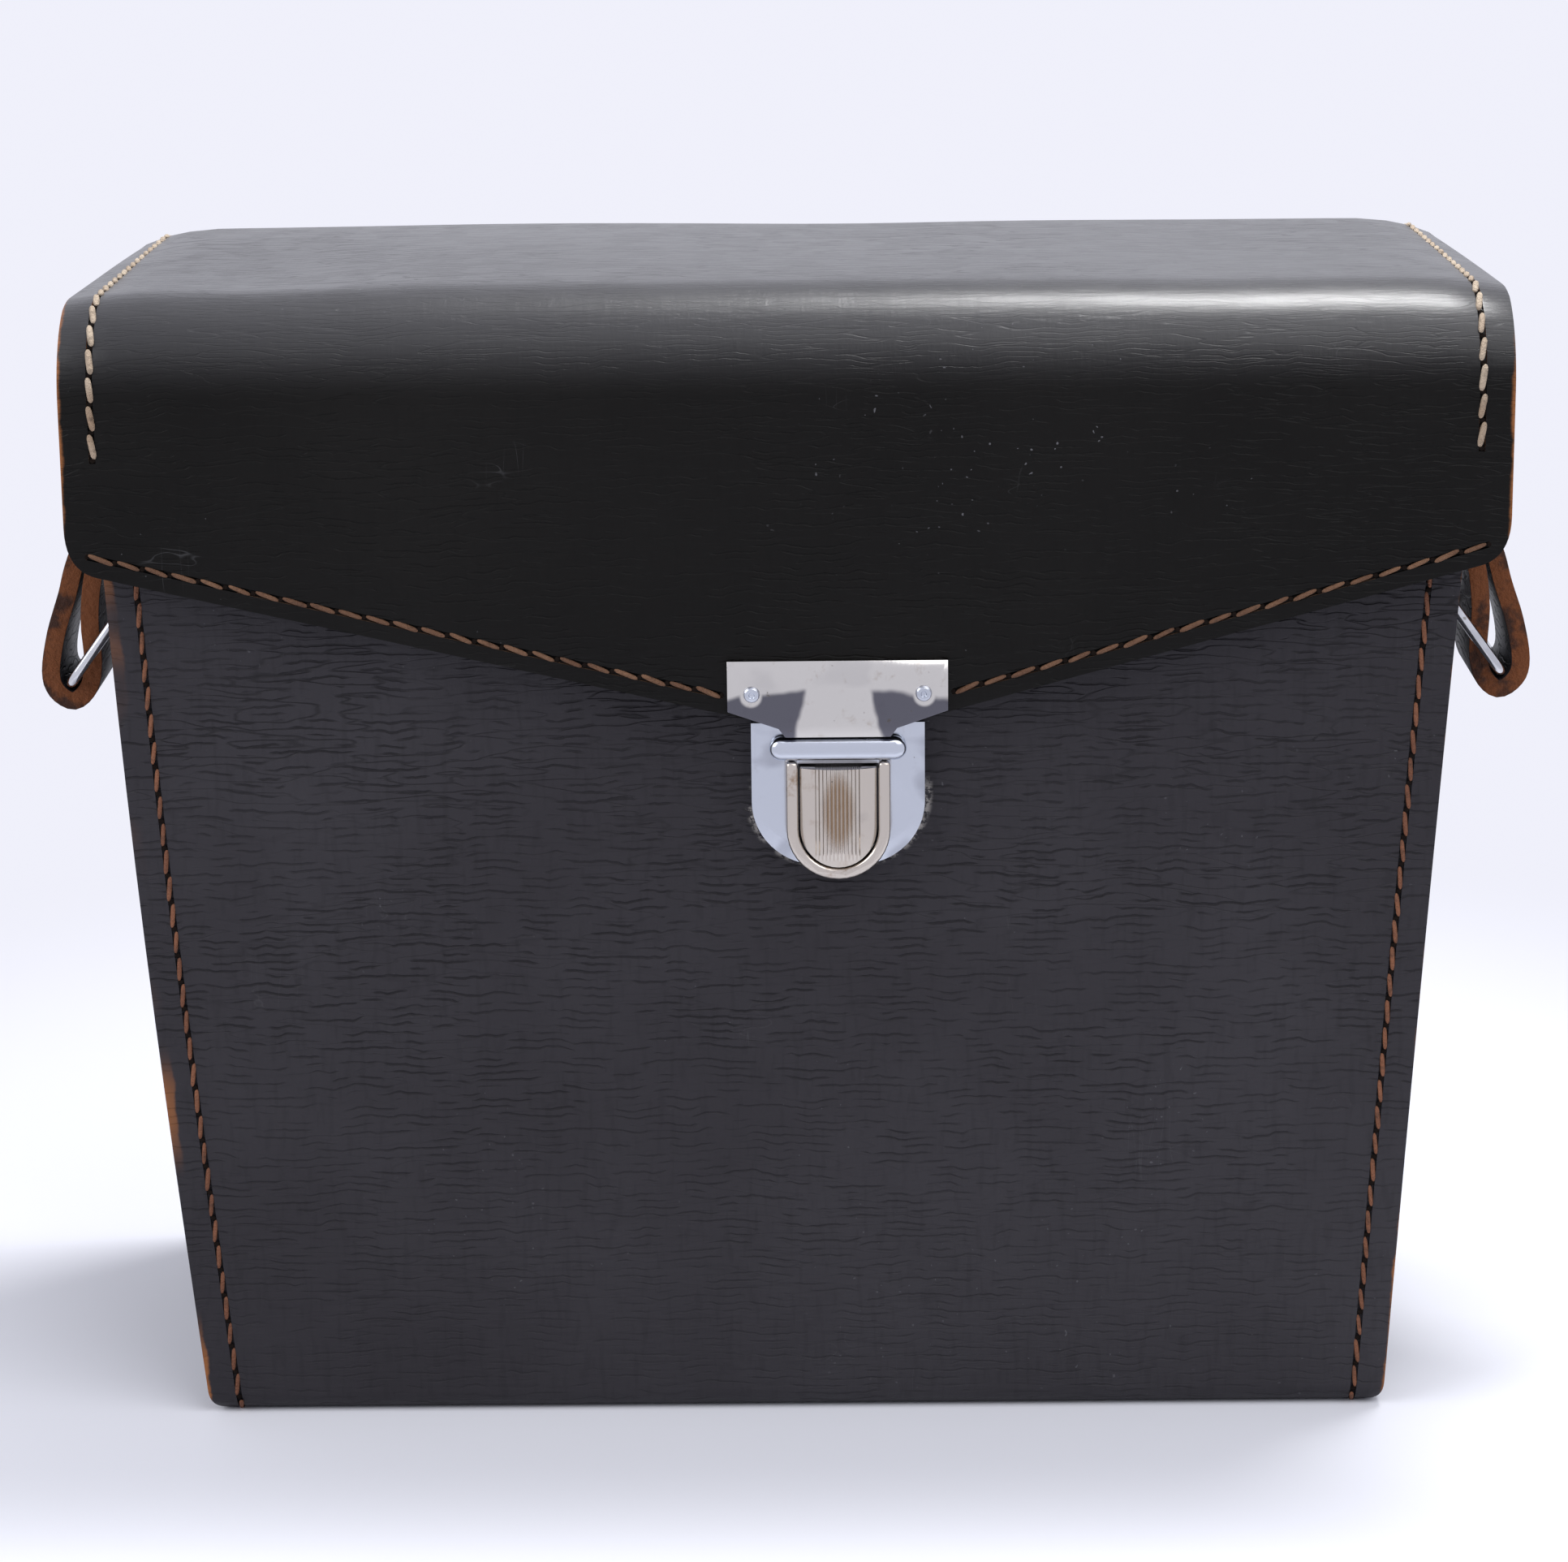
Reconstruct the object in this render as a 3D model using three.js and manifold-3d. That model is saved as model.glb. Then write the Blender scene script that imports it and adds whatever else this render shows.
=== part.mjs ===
// A hard leather carrying case for a camera: tapered body, hinged lid with a V-shaped front flap,
// push-button tuck lock, and a strap loop with a wire ring on each side.
// Millimetres, +Z up. The front faces -Y. The origin is the centre of the flat underside.
import * as THREE from "three";
import { mergeVertices } from "three/addons/utils/BufferGeometryUtils.js";
import Module from "manifold-3d";

// ---- Driving dimensions ----
const bodyDepth = 74; // outer leather to outer leather, front to back
const baseHalfWidth = 83; // half width of the outer wrap at the underside
const sideSlope = 0.0695; // how much the half width grows for each millimetre of height
const wrapThickness = 2.4;
const gussetThickness = 2;
const flangeWidth = 9;
const edgeSetBack = 0.6; // how far a gusset or cheek stands in from the cut edge of the wrap
const foldRadius = 3.2; // outer radius of the wrap at the base
const cornerRadius = 3.5; // rounding of the front and back panels' lower corners
const frontRimHeight = 144;
const hingeHeight = 134;
const seat = 0.2; // gap kept between leather pieces that lie on each other
const boardThickness = 1.7;
const padThickness = 1.2;

const lidOverhang = 4.5; // how far each end of the lid stands out past the body at the hinge
const lidTop = 159.3;
const lidThickness = 2.2;
const flapReach = 5; // how far the outside of the flap stands in front of the body
const lidBackRadius = 9;
const lidFrontRadius = 13;
const cheekFrontHeight = 136.8; // lower edge of the cheeks at the front
const cheekBackHeight = 132.5;
const cheekFlangeThickness = 1.2;
const facingThickness = 1;
const flapCornerHeight = 122.2; // where the rounded corner of the flap meets the V
const flapCornerInset = 4.3;
const flapCornerRise = 6.8;
const flapTipHeight = 101.3;
const flapTipHalfWidth = 9.4;

const lockOffset = 6.6; // the lock stands this far right of the middle
const stitchInset = 4.3; // seam line in from a side edge
const flapStitchInset = 2.6;
const threadWidth = 0.5;
const threadThickness = 0.35;
const grooveDepth = 0.6;
const grooveWidth = 0.85;

const strapWidth = 16;
const strapThickness = 2.6;
const flexHeight = 122; // the loop bends here, below its riveted root
const ringWire = 1.5;
const ringReach = 14.1; // between the centres of the ring's two long bars

// ---- Values that follow from them ----
const frontY = -bodyDepth / 2;
const backY = bodyDepth / 2;
const flapOuterY = frontY - flapReach;
const flapInnerY = flapOuterY + lidThickness;
const widthAt = (z) => baseHalfWidth + sideSlope * z;
const lidHalfWidth = widthAt(hingeHeight) + lidOverhang;
const gussetAt = (z) => widthAt(z) - edgeSetBack;
const farOut = 400;

// ---- Materials ----
const finish = (color, roughness, metalness) => ({ color, roughness, metalness });
const blackLeather = finish(0x26242a, 0.5, 0);
const lidLeather = finish(0x1c1b1a, 0.35, 0);
const cutLeather = finish(0x6a3216, 0.85, 0);
const thread = finish(0x8a5a35, 0.8, 0);
const chrome = finish(0xd4d8e0, 0.15, 1);
const nickel = finish(0xc9bfae, 0.22, 1);
const springSteel = finish(0x8c8f94, 0.35, 1);
const fibreboard = finish(0x7d6a4f, 0.9, 0);
const plush = finish(0x5c1a1e, 0.95, 0);

// ---- Solids ----
const wasm = await Module();
wasm.setup();

function solid(geometry) {
  const plain = geometry.index ? geometry.toNonIndexed() : geometry.clone();
  plain.deleteAttribute("normal");
  plain.deleteAttribute("uv");
  const merged = mergeVertices(plain, 1e-4);
  const vertProperties = merged.attributes.position.array;
  const triVerts = new Uint32Array(merged.index.array);
  return new wasm.Manifold(new wasm.Mesh({ numProp: 3, vertProperties, triVerts }));
}

const join = (...solids) => solids.reduce((sum, next) => sum.add(next));
const cut = (from, ...tools) => tools.reduce((left, tool) => left.subtract(tool), from);
const common = (a, b) => a.intersect(b);

function box(x0, x1, y0, y1, z0, z1) {
  const geometry = new THREE.BoxGeometry(x1 - x0, y1 - y0, z1 - z0);
  return solid(geometry.translate((x0 + x1) / 2, (y0 + y1) / 2, (z0 + z1) / 2));
}

// A shape drawn in (x, z), extruded from y0 to y1.
function alongY(shape, y0, y1) {
  const geometry = new THREE.ExtrudeGeometry(shape, {
    depth: y1 - y0,
    bevelEnabled: false,
    curveSegments: 10,
  });
  return solid(geometry.rotateX(Math.PI / 2).translate(0, y1, 0));
}

// A shape drawn in (y, z), extruded from x0 to x1.
function alongX(shape, x0, x1) {
  const geometry = new THREE.ExtrudeGeometry(shape, {
    depth: x1 - x0,
    bevelEnabled: false,
    curveSegments: 6,
  });
  const turn = new THREE.Matrix4().makeBasis(
    new THREE.Vector3(0, 1, 0),
    new THREE.Vector3(0, 0, 1),
    new THREE.Vector3(1, 0, 0),
  );
  return solid(geometry.applyMatrix4(turn).translate(x0, 0, 0));
}

// A turned piece whose axis lies along Y: the profile holds [radius, y] pairs.
function turnedAlongY(profile, x, z, sides = 16) {
  const points = profile.map(([radius, y]) => new THREE.Vector2(radius, y));
  return solid(new THREE.LatheGeometry(points, sides).translate(x, 0, z));
}

// A turned piece whose axis lies along X: the profile holds [radius, x] pairs.
function turnedAlongX(profile, y, z, sides = 16) {
  const points = profile.map(([radius, x]) => new THREE.Vector2(radius, x));
  return solid(new THREE.LatheGeometry(points, sides).rotateZ(-Math.PI / 2).translate(0, y, z));
}

function polygon(points) {
  return new THREE.Shape(points.map(([a, b]) => new THREE.Vector2(a, b)));
}

const group = new THREE.Group();

function place(name, made, surface) {
  const mesh = made.getMesh();
  const positions = new Float32Array(mesh.numVert * 3);
  for (let i = 0; i < mesh.numVert; i++) {
    const start = i * mesh.numProp;
    positions.set(mesh.vertProperties.subarray(start, start + 3), i * 3);
  }
  const geometry = new THREE.BufferGeometry();
  geometry.setAttribute("position", new THREE.BufferAttribute(positions, 3));
  geometry.setIndex(new THREE.BufferAttribute(new Uint32Array(mesh.triVerts), 1));
  const piece = new THREE.Mesh(geometry, new THREE.MeshStandardMaterial(surface));
  piece.name = name;
  group.add(piece);
}

const mirrored = (made) => made.mirror([1, 0, 0]);

// Places the right-hand piece, and its mirror image on the left.
function placePair(name, made, surface) {
  place(`${name}_right`, made, surface);
  place(`${name}_left`, mirrored(made), surface);
}

// ---- Profiles of the body ----
// The body's front, base and back in (y, z), set in from the outside of the wrap by inset.
function bodySection(inset, frontTop, backTop) {
  const half = backY - inset;
  const radius = Math.max(foldRadius - inset, 0.6);
  const shape = new THREE.Shape();
  shape.moveTo(-half, frontTop);
  shape.lineTo(-half, inset + radius);
  shape.absarc(-half + radius, inset + radius, radius, Math.PI, 1.5 * Math.PI, false);
  shape.lineTo(half - radius, inset);
  shape.absarc(half - radius, inset + radius, radius, 1.5 * Math.PI, 2 * Math.PI, false);
  shape.lineTo(half, backTop);
  return shape;
}

// The slanted slab between two distances in from the side edge, right-hand side.
function sideSlab(nearInset, farInset) {
  const low = -20;
  const high = 200;
  const outline = polygon([
    [widthAt(low) - farInset, low],
    [widthAt(low) - nearInset, low],
    [widthAt(high) - nearInset, high],
    [widthAt(high) - farInset, high],
  ]);
  return alongY(outline, -farOut, farOut);
}

// Front view of the body, set in from the side edges and the base.
function bodyOutline(sideInset, baseInset, top, radius) {
  const shape = new THREE.Shape();
  const low = widthAt(baseInset) - sideInset;
  const high = widthAt(top) - sideInset;
  shape.moveTo(-high, top);
  shape.lineTo(-low - sideSlope * radius, baseInset + radius);
  shape.quadraticCurveTo(-low, baseInset, -low + radius, baseInset);
  shape.lineTo(low - radius, baseInset);
  shape.quadraticCurveTo(low, baseInset, low + sideSlope * radius, baseInset + radius);
  shape.lineTo(high, top);
  return shape;
}

// ---- Body wrap and gussets ----
const lockCutHalfWidth = 7.6; // opening in the front leather behind the lock
const lockCutLow = 80;
const lockCutHigh = 99;
const prongOffset = 10;
const prongHalfWidth = 2;
const prongThickness = 0.8;
const prongHeights = [88, 97];

const lockCut = box(
  lockOffset - lockCutHalfWidth,
  lockOffset + lockCutHalfWidth,
  frontY - 1,
  frontY + wrapThickness + 1,
  lockCutLow,
  lockCutHigh,
);
const prongSlits = [-1, 1].flatMap((side) =>
  prongHeights.map((z) => {
    const x = lockOffset + side * prongOffset;
    const halfThick = prongThickness / 2 + seat;
    const halfWide = prongHalfWidth + seat;
    const far = frontY + wrapThickness + 4;
    return box(x - halfThick, x + halfThick, frontY - 1, far, z - halfWide, z + halfWide);
  }),
);

const bodyBlank = cut(
  alongX(bodySection(0, frontRimHeight, hingeHeight), -farOut, farOut),
  alongX(bodySection(wrapThickness, farOut, farOut), -farOut, farOut),
  box(-farOut, farOut, 0, farOut, hingeHeight, farOut),
);
const bodyPlan = alongY(bodyOutline(0, 0, frontRimHeight + 1, cornerRadius), -farOut, farOut);

// A channel or a thread that follows a side seam round the body, between two depths.
function bodySeam(shallow, deep, width, frontTop, backTop) {
  const band = cut(
    alongX(bodySection(shallow, frontTop, backTop), 0, farOut),
    alongX(bodySection(deep, farOut, farOut), 0, farOut),
  );
  return common(band, sideSlab(stitchInset - width / 2, stitchInset + width / 2));
}

const bodyGroove = bodySeam(-1, grooveDepth, grooveWidth, farOut, farOut);
const bodyWrap = cut(
  common(bodyBlank, bodyPlan),
  bodyGroove,
  mirrored(bodyGroove),
  lockCut,
  ...prongSlits,
);
place("body_wrap", bodyWrap, blackLeather);

const threadSkin = 0.1; // depth of the thread's outer face below the leather
const threadDeep = threadSkin + threadThickness;
const threadEnd = 3;
placePair(
  "body_seam_thread",
  bodySeam(threadSkin, threadDeep, threadWidth, frontRimHeight - threadEnd, hingeHeight - 15),
  thread,
);

// Rim of the gussets: high at the front, down to the hinge at the back.
const rimBackHeight = hingeHeight - 0.4;
const gussetInset = wrapThickness + seat;
function gussetSection(inset) {
  return bodySection(gussetInset + inset, frontRimHeight, rimBackHeight);
}
const gussetShell = common(
  alongX(gussetSection(0), 0, farOut),
  sideSlab(edgeSetBack, edgeSetBack + flangeWidth),
);
const gussetHollow = common(
  alongX(bodySection(gussetInset + gussetThickness, farOut, farOut), 0, farOut),
  sideSlab(edgeSetBack + gussetThickness, edgeSetBack + flangeWidth + 1),
);
const rivetY = 0;
const rivetZ = 129.8;
const rivetShank = 1.3;
const rivetHole = (grow) => [
  [0, 0],
  [rivetShank + grow, 0],
  [rivetShank + grow, farOut],
  [0, farOut],
];
const rivetBore = turnedAlongX(rivetHole(0.15), rivetY, rivetZ);
placePair("side_gusset", cut(gussetShell, gussetHollow, rivetBore), blackLeather);

// ---- Boards and lining ----
const flangeEnd = edgeSetBack + flangeWidth + 0.5;
const boardFrontY = frontY + gussetInset;
const boardTop = 128;
const boardLow = 8;

function board(y0, y1) {
  return alongY(bodyOutline(flangeEnd, boardLow, boardTop, 1), y0, y1);
}
const backPlateHalfWidth = 12.6;
const backPlateLow = 79;
const backPlateHigh = 101;
const backPlateThickness = 0.8;
const boardWindow = box(
  lockOffset - backPlateHalfWidth - seat,
  lockOffset + backPlateHalfWidth + seat,
  frontY,
  frontY + 20,
  backPlateLow - seat,
  backPlateHigh + seat,
);
place("front_board", cut(board(boardFrontY, boardFrontY + boardThickness), boardWindow), fibreboard);
place("back_board", board(backY - gussetInset - boardThickness, backY - gussetInset), fibreboard);
const baseBoardHalf = widthAt(0) - flangeEnd - 2;
const baseBoardDepth = backY - boardLow;
place(
  "base_board",
  box(
    -baseBoardHalf,
    baseBoardHalf,
    -baseBoardDepth,
    baseBoardDepth,
    gussetInset,
    gussetInset + boardThickness,
  ),
  fibreboard,
);

const liningInset = gussetInset + gussetThickness + seat;
const liningSide = edgeSetBack + gussetThickness + seat;
const liningTop = 132;
const sideLiningTop = 124; // stops below the rivet washers
const padLow = liningInset + padThickness + seat;
const padHalfDepth = backY - liningInset;

function facePad(y0, y1) {
  return alongY(bodyOutline(liningSide + padThickness + seat, padLow, liningTop, 1), y0, y1);
}
place("lining_front", facePad(-padHalfDepth, -padHalfDepth + padThickness), plush);
place("lining_back", facePad(padHalfDepth - padThickness, padHalfDepth), plush);
const sidePad = common(
  box(0, farOut, -padHalfDepth, padHalfDepth, padLow, sideLiningTop),
  sideSlab(liningSide, liningSide + padThickness),
);
placePair("lining_side", sidePad, plush);
const basePadHalf = widthAt(liningInset) - liningSide - 0.8;
place(
  "lining_base",
  box(
    -basePadHalf,
    basePadHalf,
    -padHalfDepth,
    padHalfDepth,
    liningInset,
    liningInset + padThickness,
  ),
  plush,
);

// ---- Lid ----
// The lid's back, top and front in (y, z), set in from the outside by inset, down to the two heights.
function lidSection(inset, backLow, frontLow) {
  const top = lidTop - inset;
  const back = backY - inset;
  const front = flapOuterY + inset;
  const backRadius = lidBackRadius - inset;
  const frontRadius = lidFrontRadius - inset;
  const shape = new THREE.Shape();
  shape.moveTo(back, backLow);
  shape.lineTo(back, top - backRadius);
  shape.absarc(back - backRadius, top - backRadius, backRadius, 0, Math.PI / 2, false);
  shape.lineTo(front + frontRadius, top);
  shape.absarc(front + frontRadius, top - frontRadius, frontRadius, Math.PI / 2, Math.PI, false);
  shape.lineTo(front, frontLow);
  return shape;
}

// Front view of the lid and its V-shaped flap, set in from the edge by inset.
function flapOutline(inset, top) {
  const edge = lidHalfWidth - inset;
  const corner = lidHalfWidth - flapCornerInset;
  const tipLeft = lockOffset - flapTipHalfWidth;
  const tipRight = lockOffset + flapTipHalfWidth;
  const shape = new THREE.Shape();
  shape.moveTo(-edge, top);
  shape.lineTo(-edge, flapCornerHeight + flapCornerRise);
  shape.quadraticCurveTo(-edge, flapCornerHeight + inset + 1, -corner, flapCornerHeight + inset);
  shape.lineTo(tipLeft, flapTipHeight + inset);
  shape.lineTo(tipRight, flapTipHeight + inset);
  shape.lineTo(corner, flapCornerHeight + inset);
  shape.quadraticCurveTo(edge, flapCornerHeight + inset + 1, edge, flapCornerHeight + flapCornerRise);
  shape.lineTo(edge, top);
  return shape;
}

const lidSeam = 0.2; // between the body's back panel and the lid
const lidBackLow = hingeHeight + lidSeam;
const lidBlank = cut(
  alongX(lidSection(0, lidBackLow, 90), -lidHalfWidth, lidHalfWidth),
  alongX(lidSection(lidThickness, 0, 0), -farOut, farOut),
  box(-farOut, farOut, 0, farOut, 0, lidBackLow),
);

const seamLow = cheekFrontHeight + 1;
function lidSeamBand(shallow, deep, width) {
  const band = cut(
    alongX(lidSection(shallow, seamLow, seamLow), 0, farOut),
    alongX(lidSection(deep, 0, 0), 0, farOut),
  );
  const middle = lidHalfWidth - stitchInset;
  return common(band, box(middle - width / 2, middle + width / 2, -farOut, farOut, 0, farOut));
}
const lidGroove = lidSeamBand(-1, grooveDepth, grooveWidth);

// A straight band along one side of the V, in front view.
function flapBand(side, width, y0, y1) {
  const startX = lidHalfWidth - flapStitchInset - 0.3;
  const endX = lockOffset * side + strikeHalfWidth + 0.6;
  const tipX = lockOffset * side + flapTipHalfWidth;
  const slope = (flapCornerHeight - flapTipHeight) / (lidHalfWidth - flapCornerInset - tipX);
  const heightAt = (x) => flapTipHeight + slope * (x - tipX) + flapStitchInset;
  const outline = polygon([
    [endX, heightAt(endX) - width / 2],
    [startX, heightAt(startX) - width / 2],
    [startX, heightAt(startX) + width / 2],
    [endX, heightAt(endX) + width / 2],
  ]);
  const band = alongY(outline, y0, y1);
  return side > 0 ? band : mirrored(band);
}
const strikeHalfWidth = 14.9;

const strikeRivetOffset = 11.6;
const strikeRivetZ = 105.6;
const strikeShank = 0.75;
const strikeRivetXs = { left: lockOffset - strikeRivetOffset, right: lockOffset + strikeRivetOffset };
const strikeBores = Object.values(strikeRivetXs).map((x) =>
  turnedAlongY(
    [
      [0, flapOuterY - 5],
      [strikeShank + 0.15, flapOuterY - 5],
      [strikeShank + 0.15, flapInnerY + 5],
      [0, flapInnerY + 5],
    ],
    x,
    strikeRivetZ,
  ),
);

const flapGrooves = [-1, 1].map((side) =>
  flapBand(side, grooveWidth, flapOuterY - 1, flapOuterY + grooveDepth),
);
const lidWrap = cut(
  common(lidBlank, alongY(flapOutline(0, farOut), -farOut, farOut)),
  lidGroove,
  mirrored(lidGroove),
  ...flapGrooves,
  ...strikeBores,
);
place("lid_wrap", lidWrap, lidLeather);
placePair("lid_seam_thread", lidSeamBand(threadSkin, threadDeep, threadWidth), thread);
for (const [name, side] of [
  ["left", -1],
  ["right", 1],
]) {
  const made = flapBand(side, threadWidth, flapOuterY + threadSkin, flapOuterY + threadDeep);
  place(`flap_edge_thread_${name}`, made, thread);
}

// Cheeks: a side plate with a skived flange under the wrap.
const cheekOuterX = lidHalfWidth - edgeSetBack;
const cheekInnerX = cheekOuterX - gussetThickness;
const cheekInset = lidThickness + seat;
const cheekPlate = alongX(
  lidSection(cheekInset, cheekBackHeight, cheekFrontHeight),
  cheekInnerX,
  cheekOuterX,
);
const flangeLow = cheekFrontHeight + 0.2;
const cheekFlange = cut(
  alongX(lidSection(cheekInset, flangeLow, flangeLow), cheekOuterX - flangeWidth, cheekInnerX + 1),
  alongX(lidSection(cheekInset + cheekFlangeThickness, 0, 0), 0, cheekInnerX),
);
placePair("lid_cheek", join(cheekPlate, cheekFlange), blackLeather);

// Facing behind the V, and the lining under the top.
const facingInset = 1.4;
const facingTop = cheekFrontHeight - 0.4;
const facing = cut(
  alongY(
    flapOutline(facingInset, facingTop),
    flapInnerY + seat,
    flapInnerY + seat + facingThickness,
  ),
  ...strikeBores,
);
place("flap_facing", facing, blackLeather);
const topPadHalf = cheekOuterX - flangeWidth - 0.5;
const topPadTop = lidTop - lidThickness - seat;
place(
  "lining_lid",
  box(
    -topPadHalf,
    topPadHalf,
    flapOuterY + lidFrontRadius,
    backY - lidBackRadius,
    topPadTop - padThickness,
    topPadTop,
  ),
  plush,
);

// ---- Hinge ----
const hingeHalfWidth = 84;
const hingeStripThickness = 1.8;
const hingeStripReach = 13; // above and below the hinge line
const hingeStripY = backY + seat;
const hingeThreadReach = hingeStripReach - 3;
const hingeGroove = (z, width, deep) =>
  box(
    -hingeHalfWidth + 2,
    hingeHalfWidth - 2,
    hingeStripY + hingeStripThickness - deep,
    hingeStripY + hingeStripThickness + 1,
    z - width / 2,
    z + width / 2,
  );
const hingeThreadZs = {
  upper: hingeHeight + hingeThreadReach,
  lower: hingeHeight - hingeThreadReach,
};
const hingeStrip = cut(
  box(
    -hingeHalfWidth,
    hingeHalfWidth,
    hingeStripY,
    hingeStripY + hingeStripThickness,
    hingeHeight - hingeStripReach,
    hingeHeight + hingeStripReach,
  ),
  ...Object.values(hingeThreadZs).map((z) => hingeGroove(z, grooveWidth, grooveDepth)),
);
place("hinge_strip", hingeStrip, blackLeather);
for (const [name, z] of Object.entries(hingeThreadZs)) {
  const outer = hingeStripY + hingeStripThickness - threadSkin;
  const made = box(
    -hingeHalfWidth + 3,
    hingeHalfWidth - 3,
    outer - threadThickness,
    outer,
    z - threadWidth / 2,
    z + threadWidth / 2,
  );
  place(`hinge_thread_${name}`, made, thread);
}

// ---- Lock ----
// An upright U: straight sides, round bottom, in (x, z) about the lock's middle.
function uShape(halfWidth, low, top) {
  const shape = new THREE.Shape();
  shape.moveTo(lockOffset - halfWidth, top);
  shape.lineTo(lockOffset - halfWidth, low + halfWidth);
  shape.absarc(lockOffset, low + halfWidth, halfWidth, Math.PI, 2 * Math.PI, false);
  shape.lineTo(lockOffset + halfWidth, top);
  return shape;
}

const basePlateHalfWidth = 11.8;
const basePlateLow = 80.9;
const basePlateTop = 100.9;
const basePlateFront = frontY - 2.9;
const sheet = 0.8;
const basePlateCorner = 9;
const frameHalfWidth = 7.1;
const frameLow = 79.3;
const frameTop = 95.9;
const frameFront = frontY - 5.2;
const frameRim = 1.65;
const buttonClearance = 0.25;
const buttonHalfWidth = frameHalfWidth - frameRim - buttonClearance;
const buttonLow = frameLow + frameRim + buttonClearance;
const buttonTop = 94.9;
const buttonFront = frontY - 4.4;
const buttonCrown = 1.1;
const buttonTravel = 1.4;
const barHalfLength = 9.3;
const barHeight = 3.2;
const barMiddle = 97.7;
const barFront = frontY - 5.7;

function plateOutline(inset) {
  const half = basePlateHalfWidth - inset;
  const low = basePlateLow + inset;
  const radius = basePlateCorner - inset;
  const shape = new THREE.Shape();
  shape.moveTo(lockOffset - half, basePlateTop);
  shape.lineTo(lockOffset - half, low + radius);
  shape.absarc(lockOffset - half + radius, low + radius, radius, Math.PI, 1.5 * Math.PI, false);
  shape.lineTo(lockOffset + half - radius, low);
  shape.absarc(lockOffset + half - radius, low + radius, radius, 1.5 * Math.PI, 2 * Math.PI, false);
  shape.lineTo(lockOffset + half, basePlateTop);
  return shape;
}

const hookHalfWidth = 6.4;
const hookNotchLow = 99.1;
const plateSeatY = frontY - 0.1;
const prongs = [-1, 1].flatMap((side) =>
  prongHeights.map((z) => {
    const x = lockOffset + side * prongOffset;
    const halfThick = prongThickness / 2;
    const far = frontY + gussetInset + backPlateThickness + 0.4;
    const low = z - prongHalfWidth;
    const high = z + prongHalfWidth;
    return box(x - halfThick, x + halfThick, basePlateFront + sheet / 2, far, low, high);
  }),
);
const windowGap = 0.3;
const basePlate = join(
  cut(
    alongY(plateOutline(0), basePlateFront, plateSeatY),
    alongY(plateOutline(sheet), basePlateFront + sheet, plateSeatY + 1),
    alongY(
      uShape(buttonHalfWidth + windowGap, buttonLow - windowGap, buttonTop + windowGap),
      basePlateFront - 1,
      plateSeatY,
    ),
    box(
      lockOffset - hookHalfWidth - 0.5,
      lockOffset + hookHalfWidth + 0.5,
      basePlateFront - 1,
      plateSeatY,
      hookNotchLow,
      farOut,
    ),
  ),
  ...prongs,
);
place("lock_base_plate", basePlate, chrome);

const frameBack = basePlateFront - 0.1;
const lockFrame = cut(
  alongY(uShape(frameHalfWidth, frameLow, frameTop), frameFront, frameBack),
  alongY(
    uShape(frameHalfWidth - frameRim, frameLow + frameRim, farOut),
    frameFront - 1,
    frameBack + 1,
  ),
);
place("lock_frame", lockFrame, nickel);

const barOutline = new THREE.Shape();
const barRadius = barHeight / 2;
barOutline.moveTo(lockOffset - barHalfLength + barRadius, barMiddle - barRadius);
barOutline.lineTo(lockOffset + barHalfLength - barRadius, barMiddle - barRadius);
barOutline.absarc(
  lockOffset + barHalfLength - barRadius,
  barMiddle,
  barRadius,
  -Math.PI / 2,
  Math.PI / 2,
  false,
);
barOutline.lineTo(lockOffset - barHalfLength + barRadius, barMiddle + barRadius);
barOutline.absarc(
  lockOffset - barHalfLength + barRadius,
  barMiddle,
  barRadius,
  Math.PI / 2,
  1.5 * Math.PI,
  false,
);
place("lock_bar", alongY(barOutline, barFront, frameBack), chrome);

// Button: a U-shaped block with a front that is crowned from side to side.
const crownRadius = (buttonHalfWidth ** 2 + buttonCrown ** 2) / (2 * buttonCrown);
const crownFront = buttonFront - buttonCrown;
const buttonBlock = alongY(
  uShape(buttonHalfWidth, buttonLow, buttonTop),
  crownFront - 1,
  plateSeatY + 0.4,
);
const crown = solid(
  new THREE.CylinderGeometry(crownRadius, crownRadius, 60, 96)
    .rotateX(Math.PI / 2)
    .translate(lockOffset, crownFront + crownRadius, 90),
);
place("lock_button", common(buttonBlock, crown), nickel);

// Latch: the plate behind the button, pressed back with it.
const latchFront = plateSeatY + 0.6;
place(
  "lock_latch",
  box(lockOffset - 4.6, lockOffset + 4.6, latchFront, latchFront + 0.6, 84, 98.4),
  springSteel,
);

// Back plate, clinched by the prongs behind the front leather.
const backPlateY = frontY + gussetInset;
const backPlate = cut(
  box(
    lockOffset - backPlateHalfWidth,
    lockOffset + backPlateHalfWidth,
    backPlateY,
    backPlateY + backPlateThickness,
    backPlateLow,
    backPlateHigh,
  ),
  ...prongSlits,
);
place("lock_back_plate", backPlate, springSteel);

// Leaf spring, bowed between the back plate and the latch.
const springFront = latchFront + 0.6 + 0.1;
const springBack = backPlateY - 0.1;
const springSheet = 0.3;
const springOutline = [
  [springBack, 84.5],
  [springBack, 85.6],
  [springFront + springSheet, 88.7],
  [springFront + springSheet, 90.3],
  [springBack, 93.4],
  [springBack, 94.5],
  [springBack - springSheet, 94.5],
  [springBack - springSheet, 93.4],
  [springFront, 90.5],
  [springFront, 88.5],
  [springBack - springSheet, 85.6],
  [springBack - springSheet, 84.5],
];
const spring = alongX(polygon(springOutline), lockOffset - 2.5, lockOffset + 2.5);
place("lock_spring", spring, springSteel);

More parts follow.
